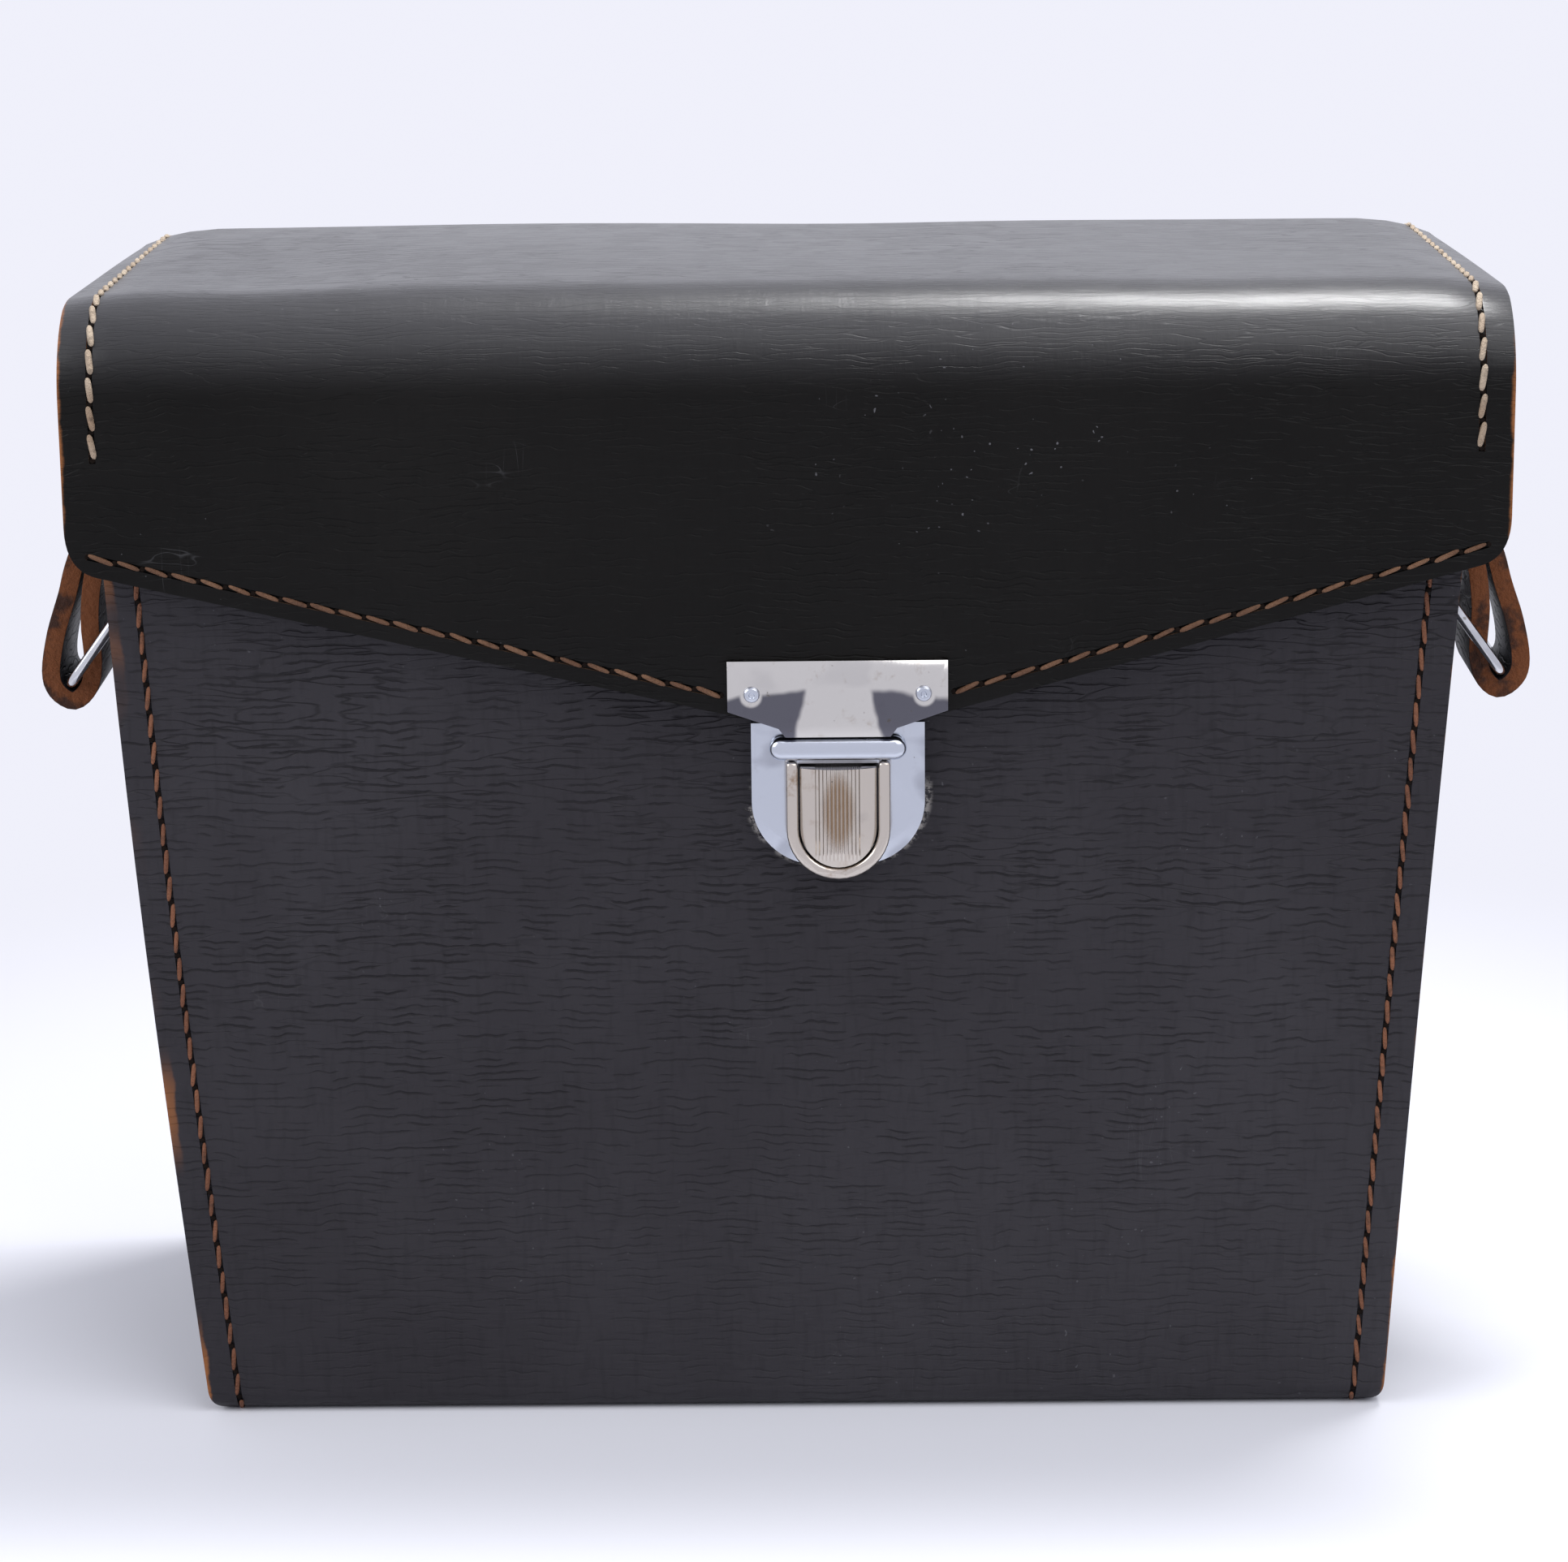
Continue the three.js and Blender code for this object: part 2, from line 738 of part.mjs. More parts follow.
// ---- Strike plate, with the hook that tucks in above the bar ----
const strikeBack = flapOuterY - 0.1;
const strikeFront = strikeBack - 0.9;
const strikeTop = 110.2;
const strikeCorner = 103.2;
const neckShoulder = 8;
const neckTop = 100.8;
const neckHalfWidth = 7.1;
const neckLow = 99.6;
const strikeOutline = polygon(
  [
    [-strikeHalfWidth, strikeTop],
    [-strikeHalfWidth, strikeCorner],
    [-neckShoulder, neckTop],
    [-neckHalfWidth, neckLow],
    [neckHalfWidth, neckLow],
    [neckShoulder, neckTop],
    [strikeHalfWidth, strikeCorner],
    [strikeHalfWidth, strikeTop],
  ].map(([x, z]) => [x + lockOffset, z]),
);
const hookBack = plateSeatY - 0.1;
const hookLip = 0.9;
const hook = join(
  box(
    lockOffset - hookHalfWidth,
    lockOffset + hookHalfWidth,
    strikeBack - 0.3,
    hookBack,
    neckLow,
    neckLow + sheet,
  ),
  box(
    lockOffset - hookHalfWidth,
    lockOffset + hookHalfWidth,
    hookBack - 0.5,
    hookBack,
    neckLow - hookLip,
    neckLow + sheet,
  ),
);
const strikePlate = cut(
  join(alongY(strikeOutline, strikeFront, strikeBack), hook),
  ...strikeBores,
);
place("strike_plate", strikePlate, nickel);

const washerFront = flapInnerY + seat + facingThickness + 0.1;
const washerThickness = 0.4;
const headRadius = 1.15;
for (const [name, x] of Object.entries(strikeRivetXs)) {
  const headBase = strikeFront - 0.05;
  const tailBase = washerFront + washerThickness + 0.05;
  const profile = [
    [0, tailBase + 0.3],
    [headRadius, tailBase + 0.3],
    [headRadius, tailBase],
    [strikeShank, tailBase],
    [strikeShank, headBase],
    [headRadius, headBase],
    [headRadius * 0.8, headBase - 0.4],
    [headRadius * 0.35, headBase - 0.5],
    [headRadius * 0.3, headBase - 0.2],
    [0, headBase - 0.2],
  ].reverse();
  place(`strike_rivet_${name}`, turnedAlongY(profile, x, strikeRivetZ), chrome);
  const ring = [
    [strikeShank + 0.15, washerFront],
    [2.2, washerFront],
    [2.2, washerFront + washerThickness],
    [strikeShank + 0.15, washerFront + washerThickness],
    [strikeShank + 0.15, washerFront],
  ];
  place(`strike_washer_${name}`, turnedAlongY(ring, x, strikeRivetZ), chrome);
}

// ---- Strap loops and rings ----
// Middle line of the folded strap on the right-hand side, as [distance out from the gusset, z],
// from the end of the inner leg, round the bulb, to the end of the outer leg.
const half = strapThickness / 2;
const rootTop = 133.2;
const legGap = 0.2;
const innerLeg = seat + half;
const outerLeg = innerLeg + strapThickness + legGap;
const loopLine = [
  [innerLeg, rootTop],
  [innerLeg + 0.4, 128],
  [4.3, 121.5],
  [7, 115.5],
  [8.3, 109],
  [8.5, 103],
  [9.5, 99.2],
  [11.9, 97.1],
  [outerLeg + 9.9, 98.6],
  [outerLeg + 10.4, 101.5],
  [outerLeg + 9, 107],
  [outerLeg + 6.8, 112.5],
  [outerLeg + 5.4, 116.5],
  [outerLeg + 2.7, 122.5],
  [outerLeg + 0.4, 128],
  [outerLeg, rootTop],
].map(([out, z]) => new THREE.Vector2(gussetAt(z) + out, z));

function strapOutline(steps) {
  const curve = new THREE.SplineCurve(loopLine);
  const left = [];
  const right = [];
  for (let i = 0; i <= steps; i++) {
    const at = curve.getPoint(i / steps);
    const along = curve.getTangent(i / steps);
    left.push(new THREE.Vector2(at.x - along.y * half, at.y + along.x * half));
    right.push(new THREE.Vector2(at.x + along.y * half, at.y - along.x * half));
  }
  return new THREE.Shape([...left, ...right.reverse()]);
}

const strap = alongY(strapOutline(40), -strapWidth / 2, strapWidth / 2);
const flexGap = 0.3;
const above = box(0, farOut, -farOut, farOut, flexHeight + flexGap, farOut);
const below = box(0, farOut, -farOut, farOut, 0, flexHeight);
const root = cut(common(strap, above), rivetBore);
const legs = root.decompose();
legs.sort((a, b) => a.boundingBox().min[0] - b.boundingBox().min[0]);
placePair("loop_inner_leg", legs[0], cutLeather);
placePair("loop_outer_leg", legs[1], cutLeather);
placePair("strap_loop", common(strap, below), cutLeather);

const rootOuterX = gussetAt(rivetZ) + outerLeg + half;
const rivetHead = rootOuterX + 0.8;
const loopWasherX = gussetAt(rivetZ) - gussetThickness - 0.35;
const loopWasherThickness = 0.5;
const rivetTail = loopWasherX - loopWasherThickness - 0.1;
placePair(
  "loop_rivet",
  turnedAlongX(
    [
      [0, rivetTail - 0.5],
      [2.2, rivetTail - 0.5],
      [2.2, rivetTail],
      [rivetShank, rivetTail],
      [rivetShank, rivetHead],
      [2.5, rivetHead],
      [2, rivetHead + 0.7],
      [0, rivetHead + 1],
    ],
    rivetY,
    rivetZ,
  ),
  chrome,
);
placePair(
  "loop_washer",
  turnedAlongX(
    [
      [rivetShank + 0.15, loopWasherX - loopWasherThickness],
      [3.4, loopWasherX - loopWasherThickness],
      [3.4, loopWasherX],
      [rivetShank + 0.15, loopWasherX],
      [rivetShank + 0.15, loopWasherX - loopWasherThickness],
    ],
    rivetY,
    rivetZ,
  ),
  chrome,
);

// The ring's lower bar lies in the bulb of the loop, and the ring leans in against the case.
const ringLowX = gussetAt(99) + 12.1;
const ringLowZ = 99.7;
const ringLean = (36 * Math.PI) / 180; // from upright
const ringHalfLength = strapWidth / 2 + 1 + ringWire / 2;
const ringCorner = 2.5;

function wireRing() {
  const path = new THREE.CurvePath();
  const corners = [
    [-ringHalfLength, 0],
    [ringHalfLength, 0],
    [ringHalfLength, ringReach],
    [-ringHalfLength, ringReach],
  ];
  const points = [];
  const cornerSteps = 4;
  const centres = corners.map(([u, v]) => [
    u - Math.sign(u) * ringCorner,
    v + (v === 0 ? ringCorner : -ringCorner),
  ]);
  centres.forEach(([u, v], i) => {
    for (let step = 0; step <= cornerSteps; step++) {
      const angle = Math.PI + (Math.PI / 2) * (i + step / cornerSteps);
      points.push(
        new THREE.Vector3(0, u + ringCorner * Math.cos(angle), v + ringCorner * Math.sin(angle)),
      );
    }
  });
  points.forEach((point, i) => path.add(new THREE.LineCurve3(point, points[(i + 1) % points.length])));
  const sides = 8;
  const rings = points.length;
  const positions = [];
  const index = [];
  points.forEach((point, i) => {
    const before = points[(i + rings - 1) % rings];
    const after = points[(i + 1) % rings];
    const along = after.clone().sub(before).normalize();
    const across = new THREE.Vector3(1, 0, 0);
    const outward = along.clone().cross(across);
    for (let k = 0; k < sides; k++) {
      const angle = (2 * Math.PI * k) / sides;
      const at = point
        .clone()
        .addScaledVector(across, (ringWire / 2) * Math.cos(angle))
        .addScaledVector(outward, (ringWire / 2) * Math.sin(angle));
      positions.push(at.x, at.y, at.z);
      const next = (i + 1) % rings;
      const side = (k + 1) % sides;
      const [a, b, c, d] = [i * sides + k, i * sides + side, next * sides + side, next * sides + k];
      index.push(a, b, c, a, c, d);
    }
  });
  const geometry = new THREE.BufferGeometry();
  geometry.setAttribute("position", new THREE.BufferAttribute(new Float32Array(positions), 3));
  geometry.setIndex(index);
  const made = solid(geometry.rotateY(-ringLean).translate(ringLowX, 0, ringLowZ));
  return made;
}
placePair("strap_ring", wireRing(), chrome);

export default group;
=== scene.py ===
import math
import random

import bpy
from mathutils import Matrix, Vector


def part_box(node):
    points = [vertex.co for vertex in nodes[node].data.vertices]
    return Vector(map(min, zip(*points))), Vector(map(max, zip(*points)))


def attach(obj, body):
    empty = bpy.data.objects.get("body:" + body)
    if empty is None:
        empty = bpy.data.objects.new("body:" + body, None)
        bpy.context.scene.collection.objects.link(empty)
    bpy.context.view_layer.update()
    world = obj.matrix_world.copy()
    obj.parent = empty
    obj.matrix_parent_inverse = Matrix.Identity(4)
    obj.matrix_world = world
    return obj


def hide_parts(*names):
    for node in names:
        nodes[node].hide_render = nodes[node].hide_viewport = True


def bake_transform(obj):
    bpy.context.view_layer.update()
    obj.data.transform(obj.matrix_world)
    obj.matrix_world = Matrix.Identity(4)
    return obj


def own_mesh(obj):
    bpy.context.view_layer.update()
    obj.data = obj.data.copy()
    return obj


print("case: loading the packed model")
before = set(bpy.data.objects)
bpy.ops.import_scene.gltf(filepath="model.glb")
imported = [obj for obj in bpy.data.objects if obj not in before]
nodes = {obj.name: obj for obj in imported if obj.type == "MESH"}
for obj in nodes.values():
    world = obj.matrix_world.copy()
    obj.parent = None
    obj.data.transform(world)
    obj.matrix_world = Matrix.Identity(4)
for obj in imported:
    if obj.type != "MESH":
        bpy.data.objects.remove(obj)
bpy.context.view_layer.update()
mm = 0.001

# what both halves of the case share, in millimetres
case = {
    "baseHalfWidth": 83.0,
    "sideSlope": 0.0695,
    "frontY": -37.0,
    "backY": 37.0,
    "foldRadius": 3.2,
    "lidHalfWidth": 96.8,
    "lidTop": 159.3,
    "flapY": -42.0,
    "lidFrontRadius": 13.0,
    "lidBackRadius": 9.0,
    "hingeHeight": 134.1,
    "lockX": 6.6,
}


def sideAt(z):
    return case["baseHalfWidth"] + case["sideSlope"] * z


# camera, floor and light
studio = {
    "cameraPlace": (0.0041, -0.6465, 0.25146),
    "cameraPitch": 14.66,
    "cameraRoll": -0.605,
    "cameraTurn": 0.46,
    "lens": 105.8,
    "floorColour": (0.78, 0.79, 0.85, 1),
    "skyColour": (0.87, 0.875, 0.965, 1),
    "skyLight": 0.6,
}


def addCamera():
    data = bpy.data.cameras.new("caseCamera")
    data.lens = studio["lens"]
    data.sensor_width = 36
    data.sensor_fit = "HORIZONTAL"
    data.clip_start = 0.01
    camera = bpy.data.objects.new("caseCamera", data)
    bpy.context.scene.collection.objects.link(camera)
    pitch = Matrix.Rotation(math.radians(90 - studio["cameraPitch"]), 4, "X")
    roll = Matrix.Rotation(math.radians(studio["cameraRoll"]), 4, "Z")
    turn = Matrix.Rotation(math.radians(studio["cameraTurn"]), 4, "Z")
    camera.matrix_world = Matrix.Translation(studio["cameraPlace"]) @ turn @ pitch @ roll
    bpy.context.scene.camera = camera


addCamera()
bpy.context.scene.view_settings.view_transform = "Standard"


# shader arithmetic
class Wire:
    # one socket of a material; arithmetic on it adds Math nodes
    def __init__(self, tree, socket=None):
        self.tree = tree
        self.socket = socket

    def make(self, kind, settings, sockets, output=0):
        node = self.tree.nodes.new(kind)
        for name, value in settings.items():
            if name == "stops":
                ramp = node.color_ramp
                while len(ramp.elements) < len(value):
                    ramp.elements.new(0.5)
                for element, (place, colour) in zip(ramp.elements, value):
                    element.position = place
                    element.color = colour
            else:
                setattr(node, name, value)
        for name, value in sockets.items():
            if isinstance(value, Wire):
                self.tree.links.new(value.socket, node.inputs[name])
            else:
                node.inputs[name].default_value = value
        return Wire(self.tree, node.outputs[output])

    def sum(self, operation, first, second=0.0, third=0.0):
        sockets = {0: first, 1: second, 2: third}
        return self.make("ShaderNodeMath", {"operation": operation}, sockets)

    def __add__(self, other):
        return self.sum("ADD", self, other)

    def __radd__(self, other):
        return self.sum("ADD", other, self)

    def __sub__(self, other):
        return self.sum("SUBTRACT", self, other)

    def __rsub__(self, other):
        return self.sum("SUBTRACT", other, self)

    def __mul__(self, other):
        return self.sum("MULTIPLY", self, other)

    def __rmul__(self, other):
        return self.sum("MULTIPLY", other, self)

    def __abs__(self):
        return self.sum("ABSOLUTE", self)

    def least(self, other):
        return self.sum("MINIMUM", self, other)

    def most(self, other):
        return self.sum("MAXIMUM", self, other)

    def between(self, low, high, toLow=0.0, toHigh=1.0):
        # a smooth step from toLow at low to toHigh at high
        settings = {"interpolation_type": "SMOOTHSTEP"}
        sockets = {0: self, 1: low, 2: high, 3: toLow, 4: toHigh}
        return self.make("ShaderNodeMapRange", settings, sockets)

    def part(self, name):
        return self.make("ShaderNodeSeparateXYZ", {}, {0: self}, name)

    def stretched(self, x, y, z):
        sockets = {0: self, 1: (x, y, z)}
        return self.make("ShaderNodeVectorMath", {"operation": "MULTIPLY"}, sockets)

    def noise(self, scale, detail=3.0, roughness=0.5):
        sockets = {"Vector": self, "Scale": scale, "Detail": detail, "Roughness": roughness}
        return self.make("ShaderNodeTexNoise", {}, sockets, 0)

    def blended(self, first, second):
        # colour first where self is 0, second where it is 1
        return self.make("ShaderNodeMix", {"data_type": "RGBA"}, {0: self, 6: first, 7: second}, 2)


def newMaterial(name):
    material = bpy.data.materials.new(name)
    material.use_nodes = True
    tree = material.node_tree
    shader = tree.nodes["Principled BSDF"]
    place = Wire(tree).make("ShaderNodeTexCoord", {}, {}, "Object")
    return material, shader, place


def feed(shader, **sockets):
    names = {"colour": "Base Color", "roughness": "Roughness", "metallic": "Metallic",
             "specular": "Specular IOR Level", "coat": "Coat Weight", "coatRoughness": "Coat Roughness",
             "normal": "Normal", "sheen": "Sheen Weight", "sheenRoughness": "Sheen Roughness",
             "sheenTint": "Sheen Tint"}
    tree = shader.id_data
    for name, value in sockets.items():
        if isinstance(value, Wire):
            tree.links.new(value.socket, shader.inputs[names[name]])
        else:
            shader.inputs[names[name]].default_value = value


def bumped(height, depth, strength=1.0):
    return height.make("ShaderNodeBump", {}, {"Height": height, "Distance": depth * mm, "Strength": strength})


# leather
bodyLook = {
    "colour": (0.0345, 0.0325, 0.0375, 1),
    "dark": (0.0235, 0.0215, 0.0255, 1),
    "grainToneAndCreaseShade": (0.005, 0.0045, 0.0055, 1),
    "roughness": 0.4,
    "specular": 0.16,
    "crackDepth": 0.17,
    "crackShade": 0.62,
    "ribPitch": 1.12,
    "ribTurn": 0.0,
    "grainDepth": 0.15,
    "waves": 0.12,
    "dustAndSheen": 0.0,
    "polish": 0.0,
}
lidLook = {
    "colour": (0.0062, 0.0057, 0.0052, 1),
    "dark": (0.0034, 0.003, 0.0027, 1),
    "grainToneAndCreaseShade": (0.0015, 0.0013, 0.0012, 1),
    "roughness": 0.31,
    "specular": 0.12,
    "crackDepth": 0.09,
    "crackShade": 0.4,
    "ribPitch": 0.95,
    "ribTurn": 1.0,
    "grainDepth": 0.15,
    "waves": 0.1,
    "dustAndSheen": 0.5,
    "polish": 0.8,
}
wornTan = (0.26, 0.1, 0.035, 1)


def leatherMaterial(name, look, crackLow, crackHigh, edgeMask=None, dust=1.0, fringe=None):
    material, shader, place = newMaterial(name)
    x = place.part("X") * 1000
    z = place.part("Z") * 1000
    up = z + place.part("Y") * (1000 * look["ribTurn"])  # on the lid the ribs carry on over the top
    # cross grain: fine ribs both ways, a little under a millimetre apart
    across = place.stretched(0.16, 1, 1).noise(1150, 2)
    upright = place.stretched(1, 0.2, 0.2).noise(1050, 2)
    pores = place.noise(2600, 2)
    grain = across * 0.75 + upright * 0.55 + pores * 0.2
    # thin creases that run from side to side, closer together towards the lid
    bend = (place.noise(26, 3) - 0.5) * 0.005 + (place.noise(110, 2) - 0.5) * 0.001
    waved = place.make("ShaderNodeCombineXYZ", {}, {0: place.part("X"), 1: place.part("Y"), 2: up * mm + bend})
    creases = abs(waved.stretched(0.14, 0.14, 1).noise(600, 1, 0.4) - 0.5)
    patches = place.stretched(0.5, 1, 1).noise(55, 2).between(0.4, 0.6)
    crackBand = z.between(crackLow, crackHigh, 0.18, 1.0) * (patches * 0.7 + 0.3)
    drift = (place.noise(60, 2) - 0.5) * 3.4 + (place.stretched(1, 1, 0.5).noise(260, 2) - 0.5) * 1.7
    ribs = place.sum("SINE", (up + drift) * (2 * math.pi / look["ribPitch"]))
    broken = place.stretched(0.2, 0.2, 1).noise(800, 1).between(0.44, 0.58)
    dashes = ribs.between(0.5, 0.98) * broken
    fade = patches * 0.35 + 0.65
    cracks = (creases.between(0.0, 0.03, 1.0, 0.0) * crackBand).most(dashes * z.between(crackLow - 40, crackLow + 25, 0.45, 1.0) * fade)
    height = grain * look["grainDepth"] - cracks * look["crackDepth"]
    height = height + place.noise(60, 2) * look["waves"]
    # rubbed, dusty and scratched places
    clouds = place.noise(14, 4, 0.6).between(0.3, 0.75)
    scratchA = abs(place.stretched(1, 1, 0.09).noise(420, 1) - 0.5).between(0.0, 0.006, 1.0, 0.0)
    scratchB = abs(place.stretched(0.3, 1, 0.8).noise(330, 1) - 0.5).between(0.0, 0.005, 1.0, 0.0)
    sparse = place.noise(70, 1).between(0.66, 0.74)
    scratches = (scratchA + scratchB) * sparse * dust
    specks = place.noise(1900, 0).between(0.835, 0.86) * place.noise(35, 2).between(0.5, 0.62) * dust
    colour = clouds.blended(look["dark"], look["colour"])
    # the grain's own darker tone on its upright ribs
    colour = (upright.between(0.5, 0.7) * 0.16).blended(colour, look["grainToneAndCreaseShade"])
    colour = (scratches * 0.3).least(1.0).blended(colour, (0.11, 0.11, 0.115, 1))
    colour = (specks * 0.35).blended(colour, (0.26, 0.26, 0.28, 1))
    # painted shade: the cracks are darkened in colour, standing for the shade and lost sheen in them
    colour = (cracks * look["crackShade"]).blended(colour, look["grainToneAndCreaseShade"])
    # the top of the lid is greyer, partly from dust and partly as painted sheen of the bright backdrop, and polished by
    # handling
    lidTopBand = z.between(146, 158)
    # painted sheen and dust: the top band of the lid is greyed in colour
    colour = (lidTopBand * look["dustAndSheen"]).blended(colour, (0.05, 0.05, 0.056, 1))
    roughness = look["roughness"] + clouds * 0.08 + cracks * 0.2 + scratches * 0.25
    if edgeMask:
        worn = edgeMask(place, x, z)
        colour = worn.blended(colour, wornTan)
        roughness = roughness + worn * 0.3
    if fringe:
        colour = fringe(place, x, z).blended(colour, (0.3, 0.28, 0.26, 1))
    feed(shader, colour=colour, roughness=roughness, specular=look["specular"], normal=bumped(height, 1.0))
    if look["polish"]:
        feed(shader, coat=lidTopBand * look["polish"] * (0.7 + clouds * 0.3), coatRoughness=0.34)
    return material


def bodyEdgeWear(place, x, z):
    # tan shows on the outermost millimetre of the sides, most at the foot
    inward = case["baseHalfWidth"] + z * case["sideSlope"] - abs(x)
    rough = place.noise(160, 4, 0.65)
    side = (inward + rough * 1.6).between(0.75, 1.25, 1.0, 0.0)
    patchy = place.noise(32, 2).between(0.42, 0.56) + z.between(6, 16, 1.0, 0.0)
    return side * patchy.least(1.0)


def plateFringe(place, x, z):
    # torn pale fibres round the foot of the lock's base plate
    aside = (abs(x - case["lockX"]) - 2.8).most(0)
    below = (89.9 - z).most(0)
    out = place.sum("SQRT", aside * aside + below * below) - 9
    fibres = place.noise(950, 3, 0.7).between(0.43, 0.56) * place.noise(240, 1).between(0.36, 0.5)
    fibres = fibres * place.part("Y").between(-0.03, 0.0, 1.0, 0.0)  # on the front only
    return out.between(0.5, 1.35, 1.0, 0.0) * out.between(-1.2, -0.6) * fibres * z.between(90.5, 93, 0.8, 0.0)


def lidEdgeWear(place, x, z):
    inward = case["lidHalfWidth"] - abs(x)
    rough = place.noise(150, 4, 0.65)
    side = (inward + rough * 1.7).between(0.75, 1.3, 1.0, 0.0)
    patchy = place.noise(38, 2).between(0.42, 0.55)
    return side * patchy


print("case: mixing leathers")
bodyLeather = leatherMaterial("bodyLeather", bodyLook, 45, 128, bodyEdgeWear, 0.5, plateFringe)
lidLeather = leatherMaterial("lidLeather", lidLook, 95, 150, lidEdgeWear, 1.0)
trimLeather = leatherMaterial("trimLeather", bodyLook, 60, 130, None, 0.4)


def cutEdgeMaterial(name, tan, dark, darkShare):
    # raw cut fibre, partly stained with black dye
    material, shader, place = newMaterial(name)
    fibre = place.noise(1500, 4, 0.7)
    stain = place.noise(190, 4, 0.6).between(darkShare - 0.07, darkShare + 0.07)
    warm = fibre.blended(tuple(c * 0.55 for c in tan[:3]) + (1,), tan)
    colour = stain.blended(dark, warm)
    lumps = place.noise(480, 3) * 0.5 + fibre * 0.45
    feed(shader, colour=colour, roughness=0.78, specular=0.3, normal=bumped(lumps, 0.7))
    return material


bodyCut = cutEdgeMaterial("bodyCut", (0.2, 0.085, 0.035, 1), (0.022, 0.017, 0.015, 1), 0.59)
lidCut = cutEdgeMaterial("lidCut", (0.3, 0.11, 0.035, 1), (0.018, 0.014, 0.012, 1), 0.5)
loopCut = cutEdgeMaterial("loopCut", (0.2, 0.062, 0.018, 1), (0.04, 0.015, 0.008, 1), 0.46)
fleshSide = cutEdgeMaterial("fleshSide", (0.11, 0.058, 0.03, 1), (0.082, 0.045, 0.025, 1), 0.5)


# thread, lining and board
def threadMaterial(name, pale, deep, zLow=0.0, zHigh=1.0):
    material, shader, place = newMaterial(name)
    age = place.noise(120, 2).between(0.35, 0.65)
    height = (place.part("Z") * 1000).between(zLow, zHigh)
    colour = (age * 0.45 + height * 0.6).least(1.0).blended(deep, pale)
    dirt = place.noise(900, 3).between(0.5, 0.75)
    colour = (dirt * 0.45).blended(colour, (0.03, 0.02, 0.014, 1))
    plies = place.noise(2600, 2)
    feed(shader, colour=colour, roughness=0.72, specular=0.3, normal=bumped(plies, 0.4))
    return material


bodyThread = threadMaterial("bodyThread", (0.27, 0.11, 0.055, 1), (0.15, 0.058, 0.03, 1), 300, 400)
flapThread = threadMaterial("flapThread", (0.25, 0.135, 0.075, 1), (0.11, 0.052, 0.028, 1), 300, 400)
lidThread = threadMaterial("lidThread", (0.5, 0.415, 0.32, 1), (0.25, 0.165, 0.105, 1), 138, 158)


# painted shade: a dark disc sunk into each stitch hole stands for the shade inside the hole
def holeShadeMaterial():
    material, shader, place = newMaterial("stitchHoleShade")
    colour = place.noise(700, 2).blended((0.004, 0.003, 0.003, 1), (0.012, 0.008, 0.006, 1))
    feed(shader, colour=colour, roughness=0.9, specular=0.05)
    return material


stitchHoleShade = holeShadeMaterial()


def plushMaterial():
    material, shader, place = newMaterial("redPlush")
    nap = place.noise(1900, 3, 0.7)
    brushed = place.stretched(1, 1, 0.35).noise(75, 3).between(0.3, 0.7)
    colour = brushed.blended((0.075, 0.008, 0.011, 1), (0.15, 0.02, 0.024, 1))
    colour = (nap.between(0.4, 0.75) * 0.5).blended(colour, (0.04, 0.004, 0.006, 1))
    feed(shader, colour=colour, roughness=0.95, specular=0.15, sheen=0.5, sheenRoughness=0.4,
         sheenTint=(0.8, 0.3, 0.3, 1), normal=bumped(nap + brushed * 0.6, 0.5))
    return material


def boardMaterial():
    material, shader, place = newMaterial("fibreBoard")
    fibre = place.stretched(0.3, 1, 1).noise(900, 4, 0.6)
    colour = fibre.blended((0.14, 0.1, 0.055, 1), (0.26, 0.2, 0.12, 1))
    feed(shader, colour=colour, roughness=0.9, specular=0.2, normal=bumped(fibre, 0.2))
    return material


redPlush = plushMaterial()
fibreBoard = boardMaterial()

# metal
metalLooks = {
    "blueChrome": {"colour": (0.54, 0.57, 0.64, 1), "worn": (0.4, 0.4, 0.43, 1), "roughness": 0.16, "wearShare": 0.35, "paintedReflections": 0.3},
    "warmNickel": {"colour": (0.56, 0.51, 0.46, 1), "worn": (0.27, 0.17, 0.095, 1), "roughness": 0.17, "wearShare": 0.8, "paintedReflections": 0.2},
    "plateNickel": {"colour": (0.6, 0.58, 0.56, 1), "worn": (0.34, 0.28, 0.22, 1), "roughness": 0.13, "wearShare": 0.5, "paintedReflections": 0.4},
    "ringSteel": {"colour": (0.6, 0.61, 0.64, 1), "worn": (0.45, 0.44, 0.43, 1), "roughness": 0.14, "wearShare": 0.4, "paintedReflections": 0.2},
    "springSteel": {"colour": (0.33, 0.33, 0.35, 1), "worn": (0.22, 0.2, 0.18, 1), "roughness": 0.38, "wearShare": 1.0, "paintedReflections": 0.2},
}


